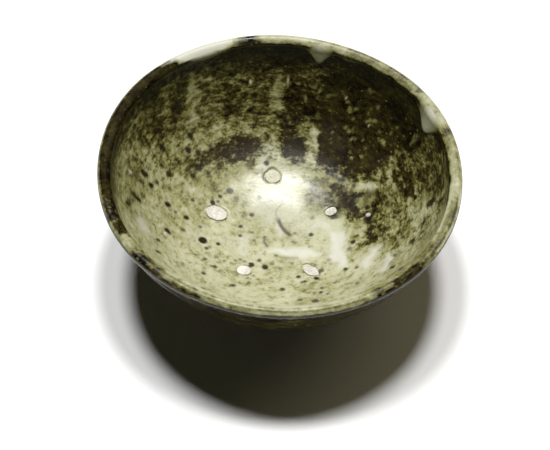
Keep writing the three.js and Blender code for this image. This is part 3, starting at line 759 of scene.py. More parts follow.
TONE = [
    (0.42, 0, 8, [(-75, -22), (-60, -15), (-42, -14), (-34, -2), (-35, 10), (-30, 22), (-20, 34), (-20, 75),
        (-75, 75)]), (0.5, 0, 4, [(-75, -10), (-63, -8), (-59, 0), (-55, 12), (-75, 14)]),
    (0.36, 0, 6, [(-28, 26), (-10, 26), (0, 12), (10, 0), (6, -8), (-8, -6), (-22, 2), (-28, 14)]),
    (0.58, 0, 8, [(-75, 16), (-60, 18), (-48, 29), (-38, 36), (-24, 45), (-8, 47), (18, 47), (18, 75),
        (-75, 75)]),
    (0.72, 0, 7, [(-75, 20), (-62, 22), (-50, 34), (-36, 47), (-14, 54), (10, 56), (10, 75), (-75, 75)]),
    (0.38, 0, 4, [(10, -30), (22, -28), (24, -34), (24, -48), (8, -48)]),
    (0.24, 0, 5, [(28, -22), (36, -18), (46, -24), (56, -34), (48, -44), (34, -40), (28, -32)]),
    (0.46, 0, 5, [(30, 22), (32, -2), (38, -14), (54, -22), (76, -22), (76, 40), (40, 30)]),
    (0.52, 0, 4, [(42, -8), (46, -18), (52, -18), (54, -6), (50, 2)]),
    (0.32, 0, 3, [(56, -18), (56, -4), (65, -5), (67, -18)]),
    (0.7, 0, 3, [(58, 14), (61, 5), (64, -4), (76, -4), (76, 40), (56, 30)]),
    (0.6, 0, 4, [(11, 12), (11, 27), (22, 30), (33, 25), (33, 10), (22, 7)]),
    (0.62, 0, 3, [(35, 6), (33, 12), (31, 20), (40, 25), (47, 25), (50, 18), (50, 8), (42, 5)]),
    (0.5, 5, 4, [(-31, 19), (-26, 25), (-19, 31), (-12, 34)]),
    (0.5, 3, 2.5, [(6, 35), (12, 33.5), (19, 30.5), (26, 29)]), (0.62, 4, 4, [(-37, 22), (-45, 27), (-50, 28)]),
    (0.38, 4, 4, [(-47, 8), (-56, 10)]), (0.6, 3, 3, [(-62, 14), (-64, 0), (-63, -12)]),
    (0.48, 5, 3, [(-30, -45), (-24, -51), (-17, -54)]), (0.38, 4, 3, [(-42, -34), (-38, -36)]),
    (0.4, 4, 3, [(27, -40), (32, -37), (37, -32)]), (0.42, 3, 2, [(31, -18), (34, -12)]),
    (0.45, 3, 2, [(8, 47), (9, 49)]), (0.42, 3, 3, [(-5, -19), (1, -20), (8, -19.5)]),
    (0.45, 2.4, 2.5, [(-39.5, 55), (-38.5, 46), (-36.5, 42)]), (0.48, 4, 2, [(-1, 62), (-2, 56.5)]),
    (0.22, 3, 2, [(36, 20.5), (42, 17)]), (0.4, 2, 1.6, [(47.5, 22), (49, 15), (51, 8.5), (53, 5)]),
    (0.6, 3, 2, [(57, -27), (60, -25)]),
    (0.44, 0, 5, [(50, -24), (62, -18), (72, -30), (56, -52), (30, -66), (30, -50), (42, -40)]),
]
PURPLE = [
    (0.85, 7, 4, [(-36, 28), (-26, 36), (-12, 41), (-6, 40)]),
    (0.85, 0, 3, [(10, 24), (18, 25), (30, 22), (33, 8), (24, 6), (17, 12)]),
    (0.6, 0, 3, [(0, 33), (12, 33), (12, 46), (2, 46)]), (0.4, 0, 3, [(14, 34), (30, 32), (26, 50), (16, 48)]),
    (0.5, 3, 2, [(38, 3), (39, 2)]), (0.35, 4, 2, [(40, -4), (38, -10)]), (0.5, 3, 2, [(43, 28), (47, 27.5)]),
]
LINES = [
    (0.85, 1.7, 0.7, [(-0.3, 6.5), (1, 3.2), (2.6, 0.6), (4.6, -1.6)]),
    (0.35, 0.6, 0.6, [(1.5, 15.5), (-1.2, 12), (-1.4, 9), (-0.5, 6.5)]),
    (0.7, 1.3, 0.6, [(-6, -3), (-6.3, -5.5), (-4.9, -8)]), (0.6, 0.8, 0.5, [(5.8, -5.4), (7.8, -5.6)]),
    (0.35, 0.7, 0.6, [(-16, 9), (-14.5, 6.5), (-12.5, 5.4)]),
    (0.3, 0.8, 0.7, [(-18, 25.5), (-15, 24.2), (-11, 25.6)]),
    (0.5, 0.9, 0.6, [(18.8, 20.2), (17.8, 17.5), (17.8, 14.5), (18.7, 12.8)]),
    (1, 1.2, 0.6, [(22.6, 28), (24.3, 27.2), (25.5, 25.8), (27, 24.8)]),
    (1, 2, 0.6, [(26.5, 24.9), (28.2, 24.5)]), (0.4, 1.0, 0.8, [(-1.5, -12.8), (2, -14.4), (8, -14.6)]),
    (0.45, 0.6, 0.5, [(-7.6, 32), (-8.3, 29.5), (-7.4, 26.6)]),
]
FLECKS = [
    (27.3, 55.4, 0.22, 0.72), (28.6, 54.5, 0.29, 0.9), (29.9, 53.2, 0.22, 0.72), (31.4, 51.2, 0.29, 0.63),
    (33.2, 50.4, 0.29, 0.63), (38.8, 52.8, 0.36, 0.54), (42.6, 47.5, 0.36, 0.63), (37.8, 44.6, 0.43, 0.63),
    (39.5, 45, 0.5, 0.72), (41.2, 44.5, 0.5, 0.63), (42.8, 44, 0.29, 0.54), (38.8, 42.9, 0.22, 0.9),
    (29.5, 46.5, 0.29, 0.63), (30.5, 44.6, 0.29, 0.72), (32.2, 43.6, 0.29, 0.63), (23.5, 45.1, 0.15, 0.81),
    (22.2, 42.6, 0.15, 0.54), (22.8, 40.8, 0.15, 0.54), (31.5, 40.8, 0.36, 0.63), (33, 40.2, 0.15, 0.63),
    (35.9, 38.7, 0.15, 0.54), (37.6, 35.2, 0.15, 0.54), (43, 35.9, 0.36, 0.54), (44.8, 34.6, 0.5, 0.81),
    (45.8, 33.8, 0.43, 0.81), (31.3, 33.6, 0.29, 0.81), (35.3, 32.3, 0.22, 0.63), (30.8, 36.5, 0.43, 0.36),
    (16.8, 58.6, 0.43, 0.72), (15, 60.3, 0.29, 0.54), (13, 60.8, 0.22, 0.45), (21.8, 56.3, 0.36, 0.36),
    (23.6, 55.8, 0.22, 0.36), (17, 52, 0.29, 0.45), (26.5, 42.3, 0.15, 0.36), (31.8, 47.7, 0.29, 0.45),
    (43.5, 39.3, 0.15, 0.54), (50.8, 36.7, 0.15, 0.63), (48.5, 36.5, 0.15, 0.45), (49, 32.5, 0.15, 0.54),
    (51, 28, 0.29, 0.63), (52, 26.4, 0.29, 0.63), (57, 28, 0.29, 0.45), (58.5, 27.5, 0.15, 0.54),
    (44.9, 27.8, 0.15, 0.36), (3, 62.8, 0.36, 0.9), (8.2, 62, 0.43, 0.63), (10.8, 60.8, 0.22, 0.54),
    (14, 60.5, 0.29, 0.54), (10.8, 57.4, 0.29, 0.63), (17.4, 58.4, 0.29, 0.72), (-13.6, 61.6, 0.22, 0.9),
    (-18.8, 61.6, 0.22, 0.45), (3, 52.2, 0.22, 0.45), (8.5, 49, 0.36, 0.54), (62.5, 18, 0.22, 0.54),
    (60, 21.5, 0.15, 0.54), (57.5, 14, 0.22, 0.63), (59, 16, 0.15, 0.54), (63.5, 14.5, 0.15, 0.45),
]
BRIGHT_FLECKS = [
    (28.6, 54.5, 0.4, 1), (38.8, 42.9, 0.4, 1), (23.5, 45.1, 0.3, 0.9), (3, 62.8, 0.4, 1),
    (-13.6, 61.6, 0.4, 1), (31.3, 33.6, 0.3, 0.9), (45.3, 34.2, 0.4, 0.9), (38.7, 4.8, 0.9, 1),
    (-48.2, -12.3, 0.5, 0.8), (-51.6, -4, 0.4, 0.6), (46.6, -8.2, 0.4, 0.8), (-63.4, 7.8, 0.5, 0.7),
]
SPECKS = [
    (-48, 4.1, 1, 1), (-44.7, 2, 0.5, 0.8), (-47.4, 1.8, 0.4, 0.4), (-40, 0.9, 0.85, 1), (-61.3, -1.9, 1, 0.9),
    (-59.6, -2.4, 0.9, 1), (-62.7, -7.6, 0.6, 0.8), (-63, -9.4, 0.8, 0.95), (-41, -6.3, 0.65, 0.75),
    (-47.6, -10, 0.9, 0.95), (-46.5, -10.9, 0.6, 0.9), (-48, -14.8, 0.5, 0.6), (-50.5, -18.8, 0.7, 0.9),
    (-50, -27, 0.75, 0.9), (-40, -27, 0.5, 0.6), (-61, -23.6, 0.5, 0.5), (-67.3, 1.5, 0.6, 0.7),
    (-53.7, -1.5, 0.4, 0.5), (-57.7, 0.8, 0.5, 0.5), (-61.7, -11.7, 0.5, 0.5), (-32.6, -8.9, 1.6, 1),
    (-26, -9.3, 0.65, 0.95), (-30.8, -13, 0.65, 0.85), (-29.6, -12, 0.6, 0.6), (-34, -1.7, 0.5, 0.7),
    (-16.6, 2.1, 0.6, 0.9), (-16.7, -3, 0.5, 0.85), (-11.3, -0.9, 0.4, 0.35), (-26.6, 2.8, 0.6, 0.4),
    (-10.7, -5.2, 0.6, 0.4), (-26.4, -16.8, 0.9, 0.4), (-31.2, -19.8, 0.65, 0.75), (-23, -18.8, 0.4, 0.5),
    (-20, -19.6, 0.5, 0.5), (-16.3, -16.5, 0.5, 0.6), (-18.4, -17.4, 0.5, 0.45), (-14.5, -17.4, 0.6, 0.5),
    (-8.1, -16.2, 0.65, 0.8), (-11.5, -19, 1.1, 0.95), (-5.6, -20, 1.05, 0.95), (-26.8, -23.3, 0.75, 0.85),
    (-28.2, -23.4, 0.5, 0.7), (-31, -26.3, 0.5, 0.35), (-31.2, -29.7, 0.7, 0.9), (-17.3, -26.2, 0.6, 0.5),
    (-10.5, -25.8, 0.5, 0.5), (-2.8, -26.7, 0.6, 0.45), (-2.7, -17.6, 0.7, 0.45), (1, -20.6, 0.7, 0.5),
    (-5.8, -11.3, 0.4, 0.35), (-1, -13.3, 0.5, 0.5), (6, -17.8, 0.5, 0.5), (-12.3, -30.6, 0.5, 0.7),
    (-18.8, -34, 0.9, 0.9), (-19.8, -34.4, 0.5, 0.8), (-42.8, 30.2, 0.6, 0.5), (8.7, -25.8, 0.75, 0.9),
    (11.4, -29.1, 0.55, 0.85), (10.2, -29.5, 0.5, 0.7), (16.3, -27.4, 0.85, 1), (18.3, -22.8, 1, 0.75),
    (21.7, -16.5, 0.7, 0.4), (15.9, -19, 0.6, 0.5), (28.6, -23.8, 0.7, 0.9), (33.2, -24.1, 0.6, 0.75),
    (2, -34, 0.85, 0.85), (18.5, -34.3, 0.5, 0.75), (15.3, -37.7, 0.6, 0.65), (18, -37.7, 0.65, 0.95),
    (20.7, -39.7, 0.5, 0.65), (9.3, -42.5, 0.9, 0.75), (15.7, -44.3, 1.25, 0.85), (6.3, -28.7, 0.5, 0.35),
    (3.9, -45, 0.5, 0.4), (-6.2, -47.8, 0.4, 0.4), (32, -8.4, 0.8, 0.95), (34.8, -10.4, 0.6, 0.7),
    (30.6, -12, 0.8, 0.5), (46.5, -6.2, 0.8, 0.7), (45, -11.2, 0.6, 0.6), (49.3, -1, 0.6, 0.9),
    (50.9, -3.6, 0.5, 0.6), (55.5, -7.6, 0.8, 0.7), (57.9, -4.8, 0.6, 0.6), (63.7, -5.4, 1.5, 0.95),
    (67, -9.2, 1, 0.9), (60.3, -13.7, 0.6, 0.9), (52.1, -14.9, 0.6, 0.7), (50.9, -10.4, 0.5, 0.6),
    (65.8, -14.7, 0.5, 0.6), (59.7, -19.1, 0.6, 0.9), (61.7, -18, 0.7, 0.5), (55.5, -20.9, 1, 0.8),
    (58.5, -22.9, 0.7, 0.6), (60.5, -22, 0.6, 0.6), (48.7, -24.1, 0.5, 0.8), (47.1, -32.5, 0.85, 0.9),
    (33, -35.7, 0.7, 0.5), (50.3, -38, 1, 0.7), (51.2, 0.3, 0.5, 0.8), (63.3, 1.7, 0.6, 0.9),
    (66.5, 2.5, 1.4, 0.6), (-38.2, 22.4, 0.8, 0.95), (-40.6, 32.4, 1.1, 0.95), (-36, 33.4, 0.7, 0.8),
    (-51.4, 20.7, 0.6, 0.9), (-48.4, 18.5, 0.85, 0.95), (-50.6, 15.3, 0.4, 0.5), (-42.2, 17.5, 0.4, 0.5),
    (-51.2, 27.9, 1, 0.8), (-52.9, 33, 0.8, 0.7), (-54.9, 31.2, 0.6, 0.8), (-53.5, 29.4, 0.5, 0.7),
    (-58.1, 12.2, 1.2, 0.95), (-55.2, 8.9, 0.85, 1), (-52.9, 12, 0.6, 0.9), (-58.9, 7.4, 0.5, 0.8),
    (-37.8, 10.9, 0.6, 0.9), (-40.2, 13.6, 0.8, 0.4), (-61.5, 27.5, 0.9, 0.6), (-62.9, 23.7, 0.7, 0.6),
    (-63.7, 20.3, 0.6, 0.5), (-62.3, 15.2, 0.7, 0.6), (-56.9, 15.6, 0.5, 0.6), (-59.3, 15.8, 0.5, 0.6),
    (-40.6, 19.9, 0.5, 0.5), (-39, 18.7, 0.4, 0.5), (-21.9, 19.6, 1.25, 0.85), (-18.9, 16.6, 0.8, 0.5),
    (-8.8, 17.8, 0.7, 0.5), (-12, 8.7, 0.8, 0.85), (-26.1, 16.2, 0.6, 0.95), (-29.2, 12.4, 0.85, 1),
    (-27, 13.4, 0.5, 0.75), (-23, 13.6, 0.6, 0.35), (-31.6, 25.7, 0.75, 0.9), (-30.6, 24.5, 0.4, 0.7),
    (-35.8, 26.9, 1.2, 0.9), (-34.8, 28.5, 0.7, 0.9), (-36.3, 33, 0.9, 0.9), (-39.7, 38, 1.1, 0.9),
    (-30.8, 36.6, 0.9, 0.7), (-23.9, 26.5, 0.5, 0.5), (-29.2, 18.6, 0.8, 0.45), (-6, 34.3, 0.9, 0.95),
    (-6.2, 28.7, 0.6, 0.7), (-42.4, 51.8, 1.1, 0.7), (-24, 51.6, 1, 0.7), (-24.4, 58.2, 0.9, 0.6),
    (-30, 60, 0.6, 0.6), (-30.7, 48.8, 0.7, 0.5), (-47, 48.5, 0.5, 0.6), (-42.6, 47, 0.6, 0.6),
    (-46.8, 43.6, 0.8, 0.8), (-46.4, 40.6, 0.9, 0.7), (-40.6, 43.8, 0.5, 0.6), (-38.6, 40.7, 0.6, 0.6),
    (-42.7, 39.5, 0.5, 0.6), (-36.3, 47, 0.7, 0.6), (-44.7, 51.5, 0.5, 0.6), (-49.5, 35.5, 0.5, 0.7),
    (-22, 63, 1.4, 0.5), (-24.5, 40.8, 0.7, 0.6), (32.6, 20.8, 0.75, 0.75), (23, 15.2, 0.65, 1),
    (23.9, 14.3, 0.4, 0.8), (29, 17.5, 0.9, 0.75), (29.3, 14.8, 0.7, 0.8), (31.4, 16, 0.8, 0.6),
    (35.5, 16, 0.9, 0.8), (32.8, 9.2, 1.3, 0.9), (31.8, 11.2, 1, 0.8), (38.4, 8.5, 0.75, 0.95),
    (23.6, 7.4, 1.2, 0.9), (22.2, 8.1, 0.6, 0.8), (25, 7, 0.7, 0.8), (14.7, 7.5, 0.7, 0.35),
    (16.8, 11.2, 0.6, 0.4), (13.8, 22.3, 0.5, 0.45), (12.5, 19.5, 0.7, 0.4), (13.9, 17.2, 0.6, 0.5),
    (11.8, 17.3, 0.5, 0.4), (20.3, 17.3, 0.3, 0.5), (21.5, 16.6, 0.4, 0.5), (38.5, 2.4, 1.2, 0.8),
    (35.8, 5.2, 0.8, 0.7), (14, -1.6, 0.7, 0.85), (7, -0.8, 0.5, 0.5), (57.9, 3.2, 0.6, 0.8),
    (-55, 39, 0.6, 0.6), (-58, 33, 0.7, 0.6), (-44, 26, 0.5, 0.5), (-46.5, 24, 0.5, 0.6), (-33, 43, 0.5, 0.5),
    (-28, 46, 0.6, 0.5), (-18, 55, 0.7, 0.6),
]
LIP_SPECKS = [
    (58.6, 42.3, 0.9, 0.9), (38, 59.7, 0.7, 0.5), (-15.6, 70.2, 1, 0.9), (-46, 56, 0.8, 0.4),
    (70.3, 18.5, 0.7, 0.6), (-20.7, 68.6, 0.9, 0.5), (66.5, 30.5, 0.4, 0.3),
]
print(len(IRON) + len(MILK) + len(TONE) + len(PURPLE) + len(LINES), "layers,", len(SPECKS), "specks and",
      len(FLECKS), "flecks laid by hand")

# %% Paint the inside
WELL_TONE, WALL_TONE, DARKEST, WALL_START, WALL_RISE = 0.25, 0.36, 0.97, 42, 28
IRON_EVERYWHERE, MILK_EVERYWHERE = 0.03, 0.06
SHADED_EDGE_AT, SHADED_EDGE_WIDTH, SHADED_EDGE_DEPTH, SHADED_EDGE_FULL = 1.1, 0.07, 0.7, 1.2
SUNK_WIDTH, SUNK_DEPTH, SUNK_SWING, SUNK_DARKEST_AT = 0.1, 0.35, 0.3, 2.8
RUN_MILK, RUN_FULL, RUN_EDGE = 1.2, 1.2, 1.6
BACK_SHADE = (-12, 20, 212, 24, 1.5, 7.5)
LIP_SHADE = (50, 15, 120, 14, 1.7, 10)


def below_lip(azimuth, past, start, rise, stop, fall, full, depth):
    """1 under the lip between two azimuths, fading out round them and down the wall."""
    return smooth((azimuth - start) / rise) * smooth((stop - azimuth) / fall) * smooth(full - past / depth)


points, past = points_of(inner), past_of(inner)
plan, azimuth = points[:, :2], azimuths(points) % 360
poured = plan + wandering(points, 6, 1.6) + wandering(points, 2, 0.5)
milky = poured + wandering(points, 4, 1.6)
out = np.hypot(*plan.T)
iron = laid(IRON_EVERYWHERE + 0 * out, poured, IRON)
milk = laid(MILK_EVERYWHERE + 0 * out, milky, MILK)
tone = laid(blended(WELL_TONE, WALL_TONE, smooth((out - WALL_START) / WALL_RISE)), poured, TONE)
purple = laid(0 * out, poured, PURPLE)
line = laid(0 * out, plan, LINES)
# Round the four bare scars the broken dark line is painted shade, at the step where the glaze ends at each
# window. Round the glazed back scar the dark ring is painted shade in its sunk edge, darker on one side.
for scar in SCARS[:4]:
    near, around = scar_share(*plan.T, scar)
    broken = smooth(0.5 + 0.7 * np.sin(3 * around + scar[0]))
    edge_shade = smooth(SHADED_EDGE_FULL - np.abs(near - SHADED_EDGE_AT) / SHADED_EDGE_WIDTH)
    line = np.maximum(line, SHADED_EDGE_DEPTH * broken * edge_shade)
near, around = scar_share(*plan.T, SCARS[4])
sunk_ring = smooth(SHADED_EDGE_FULL - np.abs(near - SHADED_EDGE_AT) / SUNK_WIDTH)
line = np.maximum(line, (SUNK_DEPTH + SUNK_SWING * np.cos(around - SUNK_DARKEST_AT)) * sunk_ring)

run_share = run_at(azimuth)
past_run = past - RIM_BAND_INSIDE - run_share * RUN_LENGTH
milk = np.maximum(milk, np.minimum(1, RUN_MILK * run_share) * smooth(RUN_FULL - past_run / RUN_EDGE))
# Under the lip at the back the tone is pulled to the darkest. This is painted shade, where the wall faces away
# from the lamps, over glaze that is dark there too. Between 50 and 120 degrees iron covers it as well.
tone = blended(tone, DARKEST, below_lip(azimuth, past, *BACK_SHADE))
shade = below_lip(azimuth, past, *LIP_SHADE)
tone, iron = blended(tone, DARKEST, shade), blended(iron, 1, shade)
paint(inner, iron=iron, milk=dotted(milk, plan, BRIGHT_FLECKS), tone=tone, purple=purple, line=line,
      fleck=dotted(0 * out, poured, FLECKS), speck=dotted(0 * out, plan, SPECKS))
print("the inside is painted on", len(points), "points")

# %% [markdown]
# ## The lip and the outside
# Round the lip the glaze changes: it is cream at the back left, where it ran thick, near black on the left,
# where the flame licked it, and olive elsewhere, with dark lines where it pulled off the edge. The same
# layers as inside lay that out, on the lip unrolled into a strip: each place is an azimuth in degrees, 0 on
# the right and 90 at the back, and a distance past the lip's top in mm, more than 0 inside. The strip's
# ends meet in the middle of the dark left side. Over the edge the coat is iron-rich and dark all round. Some
# of it is painted light: the pale line along the edge at the front and on the right is partly a painted
# highlight and sheen, and the dark line in the groove inside the lip is partly painted shade.

# %% Paint the lip and the outside
LIP_TONE = 0.48
LIP = [
    (0.34, 0, 1.2, [(-14, -1.6), (7, -1.6), (6, 2), (-14, 2)]), (0.47, 1.4, 0.7, [(-8, -0.5), (7, -0.4)]),
    (0.35, 0, 1.2, [(19, -1.6), (36, -1.6), (33, 1.3), (19, 1.3)]), (0.68, 3.5, 2.5, [(15, -1.4), (15, 2.6)]),
    (0.64, 0, 1.2, [(38, -0.6), (44, -0.6), (45, 2.4), (38, 2.4)]),
    (0.54, 0, 1.5, [(46, 0), (62, 0), (65, 2.2), (46, 2.2)]),
    (0.36, 0, 1.2, [(66, -1.2), (79, -1.2), (77, 1.2), (67, 1.2)]),
    (0.24, 0, 1.2, [(80, -1.6), (99, -1.6), (97, 0.8), (78, 1.2)]),
    # The dark line 2.9 mm inside, from the right round to the back, is partly painted shade in the groove.
    (0.86, 1, 0.6, [(-6, 2.9), (30, 2.9), (64, 2.8), (99, 2.9)]), (0.4, 2.6, 1, [(101, -1.4), (101, 0)]),
    (0.95, 3, 0.8, [(101, 0.4), (101, 3.2)]), (0.8, 2, 1, [(98, 2), (105, 2)]),
    (0.05, 0, 1, [(104, -1.6), (141, -1.6), (138, -0.8), (131, -0.5), (127, 1.6), (124, 3.4), (113, 3.4),
        (107, 1.2)]),
    (1.0, 0, 0.9, [(128, 3.6), (130, 0.8), (135, -0.1), (144, -0.5), (152, -0.8), (182, -0.9), (182, 3.6)]),
    (0.9, 0, 0.9, [(-182, -0.9), (-162, -0.6), (-149, -0.6), (-147, 2), (-152, 3.6), (-182, 3.6)]),
    (0.78, 0, 1, [(-164, -0.3), (-154, -0.3), (-154, 3.2), (-164, 3.2)]),
    (0.36, 3, 1.5, [(-145, -0.8), (-145, 1)]), (0.55, 2, 1.2, [(-145, 2), (-144, 3)]),
    (0.78, 0, 1.4, [(-141, -1.6), (-128, -1.6), (-128, 0.6), (-133, 1.4), (-140, 1.4)]),
    (0.62, 0, 1.2, [(-130, -0.8), (-112, -0.8), (-112, 0.4), (-128, 0.9)]),
    (0.85, 0.9, 0.4, [(-141, -1.2), (-114, -1.1)]),
    (0.1, 0, 1, [(-129, 1.7), (-119, 0.6), (-108, 0.8), (-110, 3.6), (-127, 3.6)]),
    (0.22, 0, 0.8, [(-109, 0.2), (-64, 0.3), (-62, 1.2), (-68, 3.6), (-112, 3.6)]),
    # At the front the pale line just over the edge is partly a painted highlight along the lip, on its paler
    # crest.
    (0.68, 0.6, 0.35, [(-96, -0.35), (-64, -0.35)]), (0.36, 0.8, 0.35, [(-98, -1.2), (-70, -1.2)]),
    (0.7, 0, 1.2, [(-59, -1.6), (-36, -1.6), (-33, 0.9), (-58, 0.8)]),
    (0.52, 0, 1, [(-59, 1.4), (-38, 1.4), (-38, 3.6), (-59, 3.6)]), (0.86, 1.4, 0.8, [(-52, -0.2), (-40, 0)]),
    # On the right the pale line just over the edge is partly a painted sheen along the lip, on glaze that is
    # paler there.
    (0.95, 0.9, 0.5, [(-58, -1.3), (-42, -1.3)]), (0.12, 0.9, 0.4, [(-33, -1.3), (-10, -1.3)]),
    (0.68, 0.7, 0.35, [(-36, -0.3), (-12, -0.3)]), (0.2, 1.2, 0.8, [(-31, 2), (-18, 1.9), (-6, 1.6)]),
]
CREAM = [
    (0.8, 0, 1.5, [(107, -1.6), (141, -1.6), (133, 0.2), (126, 3.4), (112, 3.4)]),
    (0.28, 3, 3, [(84, -0.5), (98, -0.5)]), (0.35, 4, 3, [(21, 0), (27, 0)]),
    # The faint cream on the right of the lip is partly painted sheen along its edge.
    (0.2, 3, 3, [(-32, 0), (-4, 0.5)]),
]
DEGREE = RIM_RADIUS * math.radians(1)
EDGE_AT, EDGE_WIDTH, CREASE_AT, CREASE_WIDTH, CREASE_DEPTH = 1.2, 0.35, 2.5, 0.6, 0.9
FRONT, FRONT_HALF_WIDTH, FRONT_FADE = 275, 62, 12
OUTSIDE_TONE, RUN_TONE, IRON_FROM, IRON_RISE = 0.85, 0.3, 0.72, 0.2
RUN_COVERS, MILK_IN_RUNS = 3, 0.5
WOBBLE_SIZE, WOBBLE_DEGREES, WOBBLE_DEPTH, EDGE_WOBBLE = 2.5, 1.2, 0.3, 0.15


def unrolled(layers):
    """The same layers with their azimuths turned to mm along the lip."""
    return [(amount, width, soft, [(azimuth * DEGREE, past) for azimuth, past in path])
            for amount, width, soft, path in layers]


for obj in (rim, outer):
    points, past = points_of(obj), past_of(obj)
    azimuth, (sideways, across) = azimuths(points), wandering(points, WOBBLE_SIZE, 1).T
    strip = np.stack([(azimuth + WOBBLE_DEGREES * sideways) * DEGREE, past + WOBBLE_DEPTH * across], -1)
    cream = laid(0 * past, strip, unrolled(CREAM))
    run_share = run_at(azimuth)
    lip_tone = blended(laid(LIP_TONE + 0 * past, strip, unrolled(LIP)), RUN_TONE, run_share * smooth(past))
    over_edge = smooth((-past - EDGE_AT + EDGE_WOBBLE * across) / EDGE_WIDTH)
    # The crease darkens the inner end of the lip's band, where its thick coat meets the wall. It is partly iron
    # in the glaze at the groove and partly painted shade in the groove. It is left out under the runs and at
    # the front.
    crease = smooth((past + WOBBLE_DEPTH * across - CREASE_AT) / CREASE_WIDTH + 0.5)
    crease = crease * (1 - np.minimum(1, RUN_COVERS * run_share))
    crease = crease * smooth((np.abs((azimuth - FRONT + 180) % 360 - 180) - FRONT_HALF_WIDTH) / FRONT_FADE)
    tone = blended(blended(lip_tone, OUTSIDE_TONE, over_edge), DARKEST, CREASE_DEPTH * crease)
    run_milk = MILK_IN_RUNS * run_share * (past > 1)
    paint(obj, tone=tone, iron=smooth((tone - IRON_FROM) / IRON_RISE), purple=0 * past, line=0 * past,
          milk=cream * (1 - over_edge) * (1 - crease) * (1 - lip_tone) + run_milk,
          speck=dotted(0 * past, points[:, :2], LIP_SPECKS) * (1 - over_edge), fleck=0 * past)
print("the lip is painted in", len(LIP) + len(CREAM), "layers")

# %% [markdown]
# ## Wood-ash glaze
# Ash glaze is soda-lime glass with iron in it: IOR about 1.52, and smooth, but with a soft gloss because of
# tiny crystals, so its roughness is near 0.3. Where it is thin it is olive, where it is thick it turns milky,
# and iron breaks it up in clots a few millimetres wide. Inside, where iron covers the glass, its surface is a
# skin of fine crystals and shines less. Outside, the iron melted into a smooth dark glass. So each coat has a
# pair of values, roughness and shine, for bare glass and another for iron. The painted amounts are shares,
# and noise of three sizes decides where on the surface a share falls. A Mapping node squeezes the noise
# upwards, so that on the wall it is drawn out along the throwing lines. A table lists which values are added
# up for what. Fine specks come from Voronoi cells: each cell has a chance of its own, and only the luckiest
# grow a dot.

# %% The glaze material
ASH_IOR, CLOTS, CLOUDS, GRAINS, DRAWN_OUT = 1.52, 3.4, 12, 1.3, 2
RAGGED_SIZE, RAGGED_REACH, RELIEF_DEPTH = 1.5, 1.2, 0.3
LAYER_FULL, LEAST_UNREST, IRON_UNREST, IRON_DEPTH = 1.25, 0.08, 0.3, 0.93
STAIN_ON_ASH, STAIN_ON_IRON, GRAINS_IN_IRON = 0.35, 0.95, 0.75
LUCK_OF_SHARE, MOST_LUCK, GRAIN_EDGE, GRAIN_STRENGTH = 0.8, 1.6, 0.12, 0.9
PAINTED = ("iron", "milk", "tone", "purple", "line", "speck", "fleck")
SUMS = {
    "unrest": (-1.4, (("clots", 1.2), ("clouds", 1.2), ("grains", 0.4))),
    "cover": (-1.7, (("iron", 1.4), ("clots", 1.7), ("clouds", 0.8), ("grains", 0.9))),
    "pooled": (-0.75, (("milk", 1.2), ("iron", -0.6), ("clots", 0.8), ("clouds", 0.6))),
    "height": (0.0, (("clots", 0.6), ("grains", 0.3))),
}
GRAIN_SIZES = [(2.6, 0.85), (1.3, 0.34)]
ASH_TONES = [(0, "#CFCFB6"), (0.22, "#BAB998"), (0.45, "#939264"), (0.65, "#686536"), (0.82, "#3D3716"),
             (1, "#100B04")]
COLOURS = {"fleck": "#928E52", "pooled": "#D6D5C8", "stain": "#352E23", "line": "#2F2A22", "speck": "#151205"}
GRAIN_ON_ASH, GRAIN_ON_IRON = "#332C12", "#77723E"


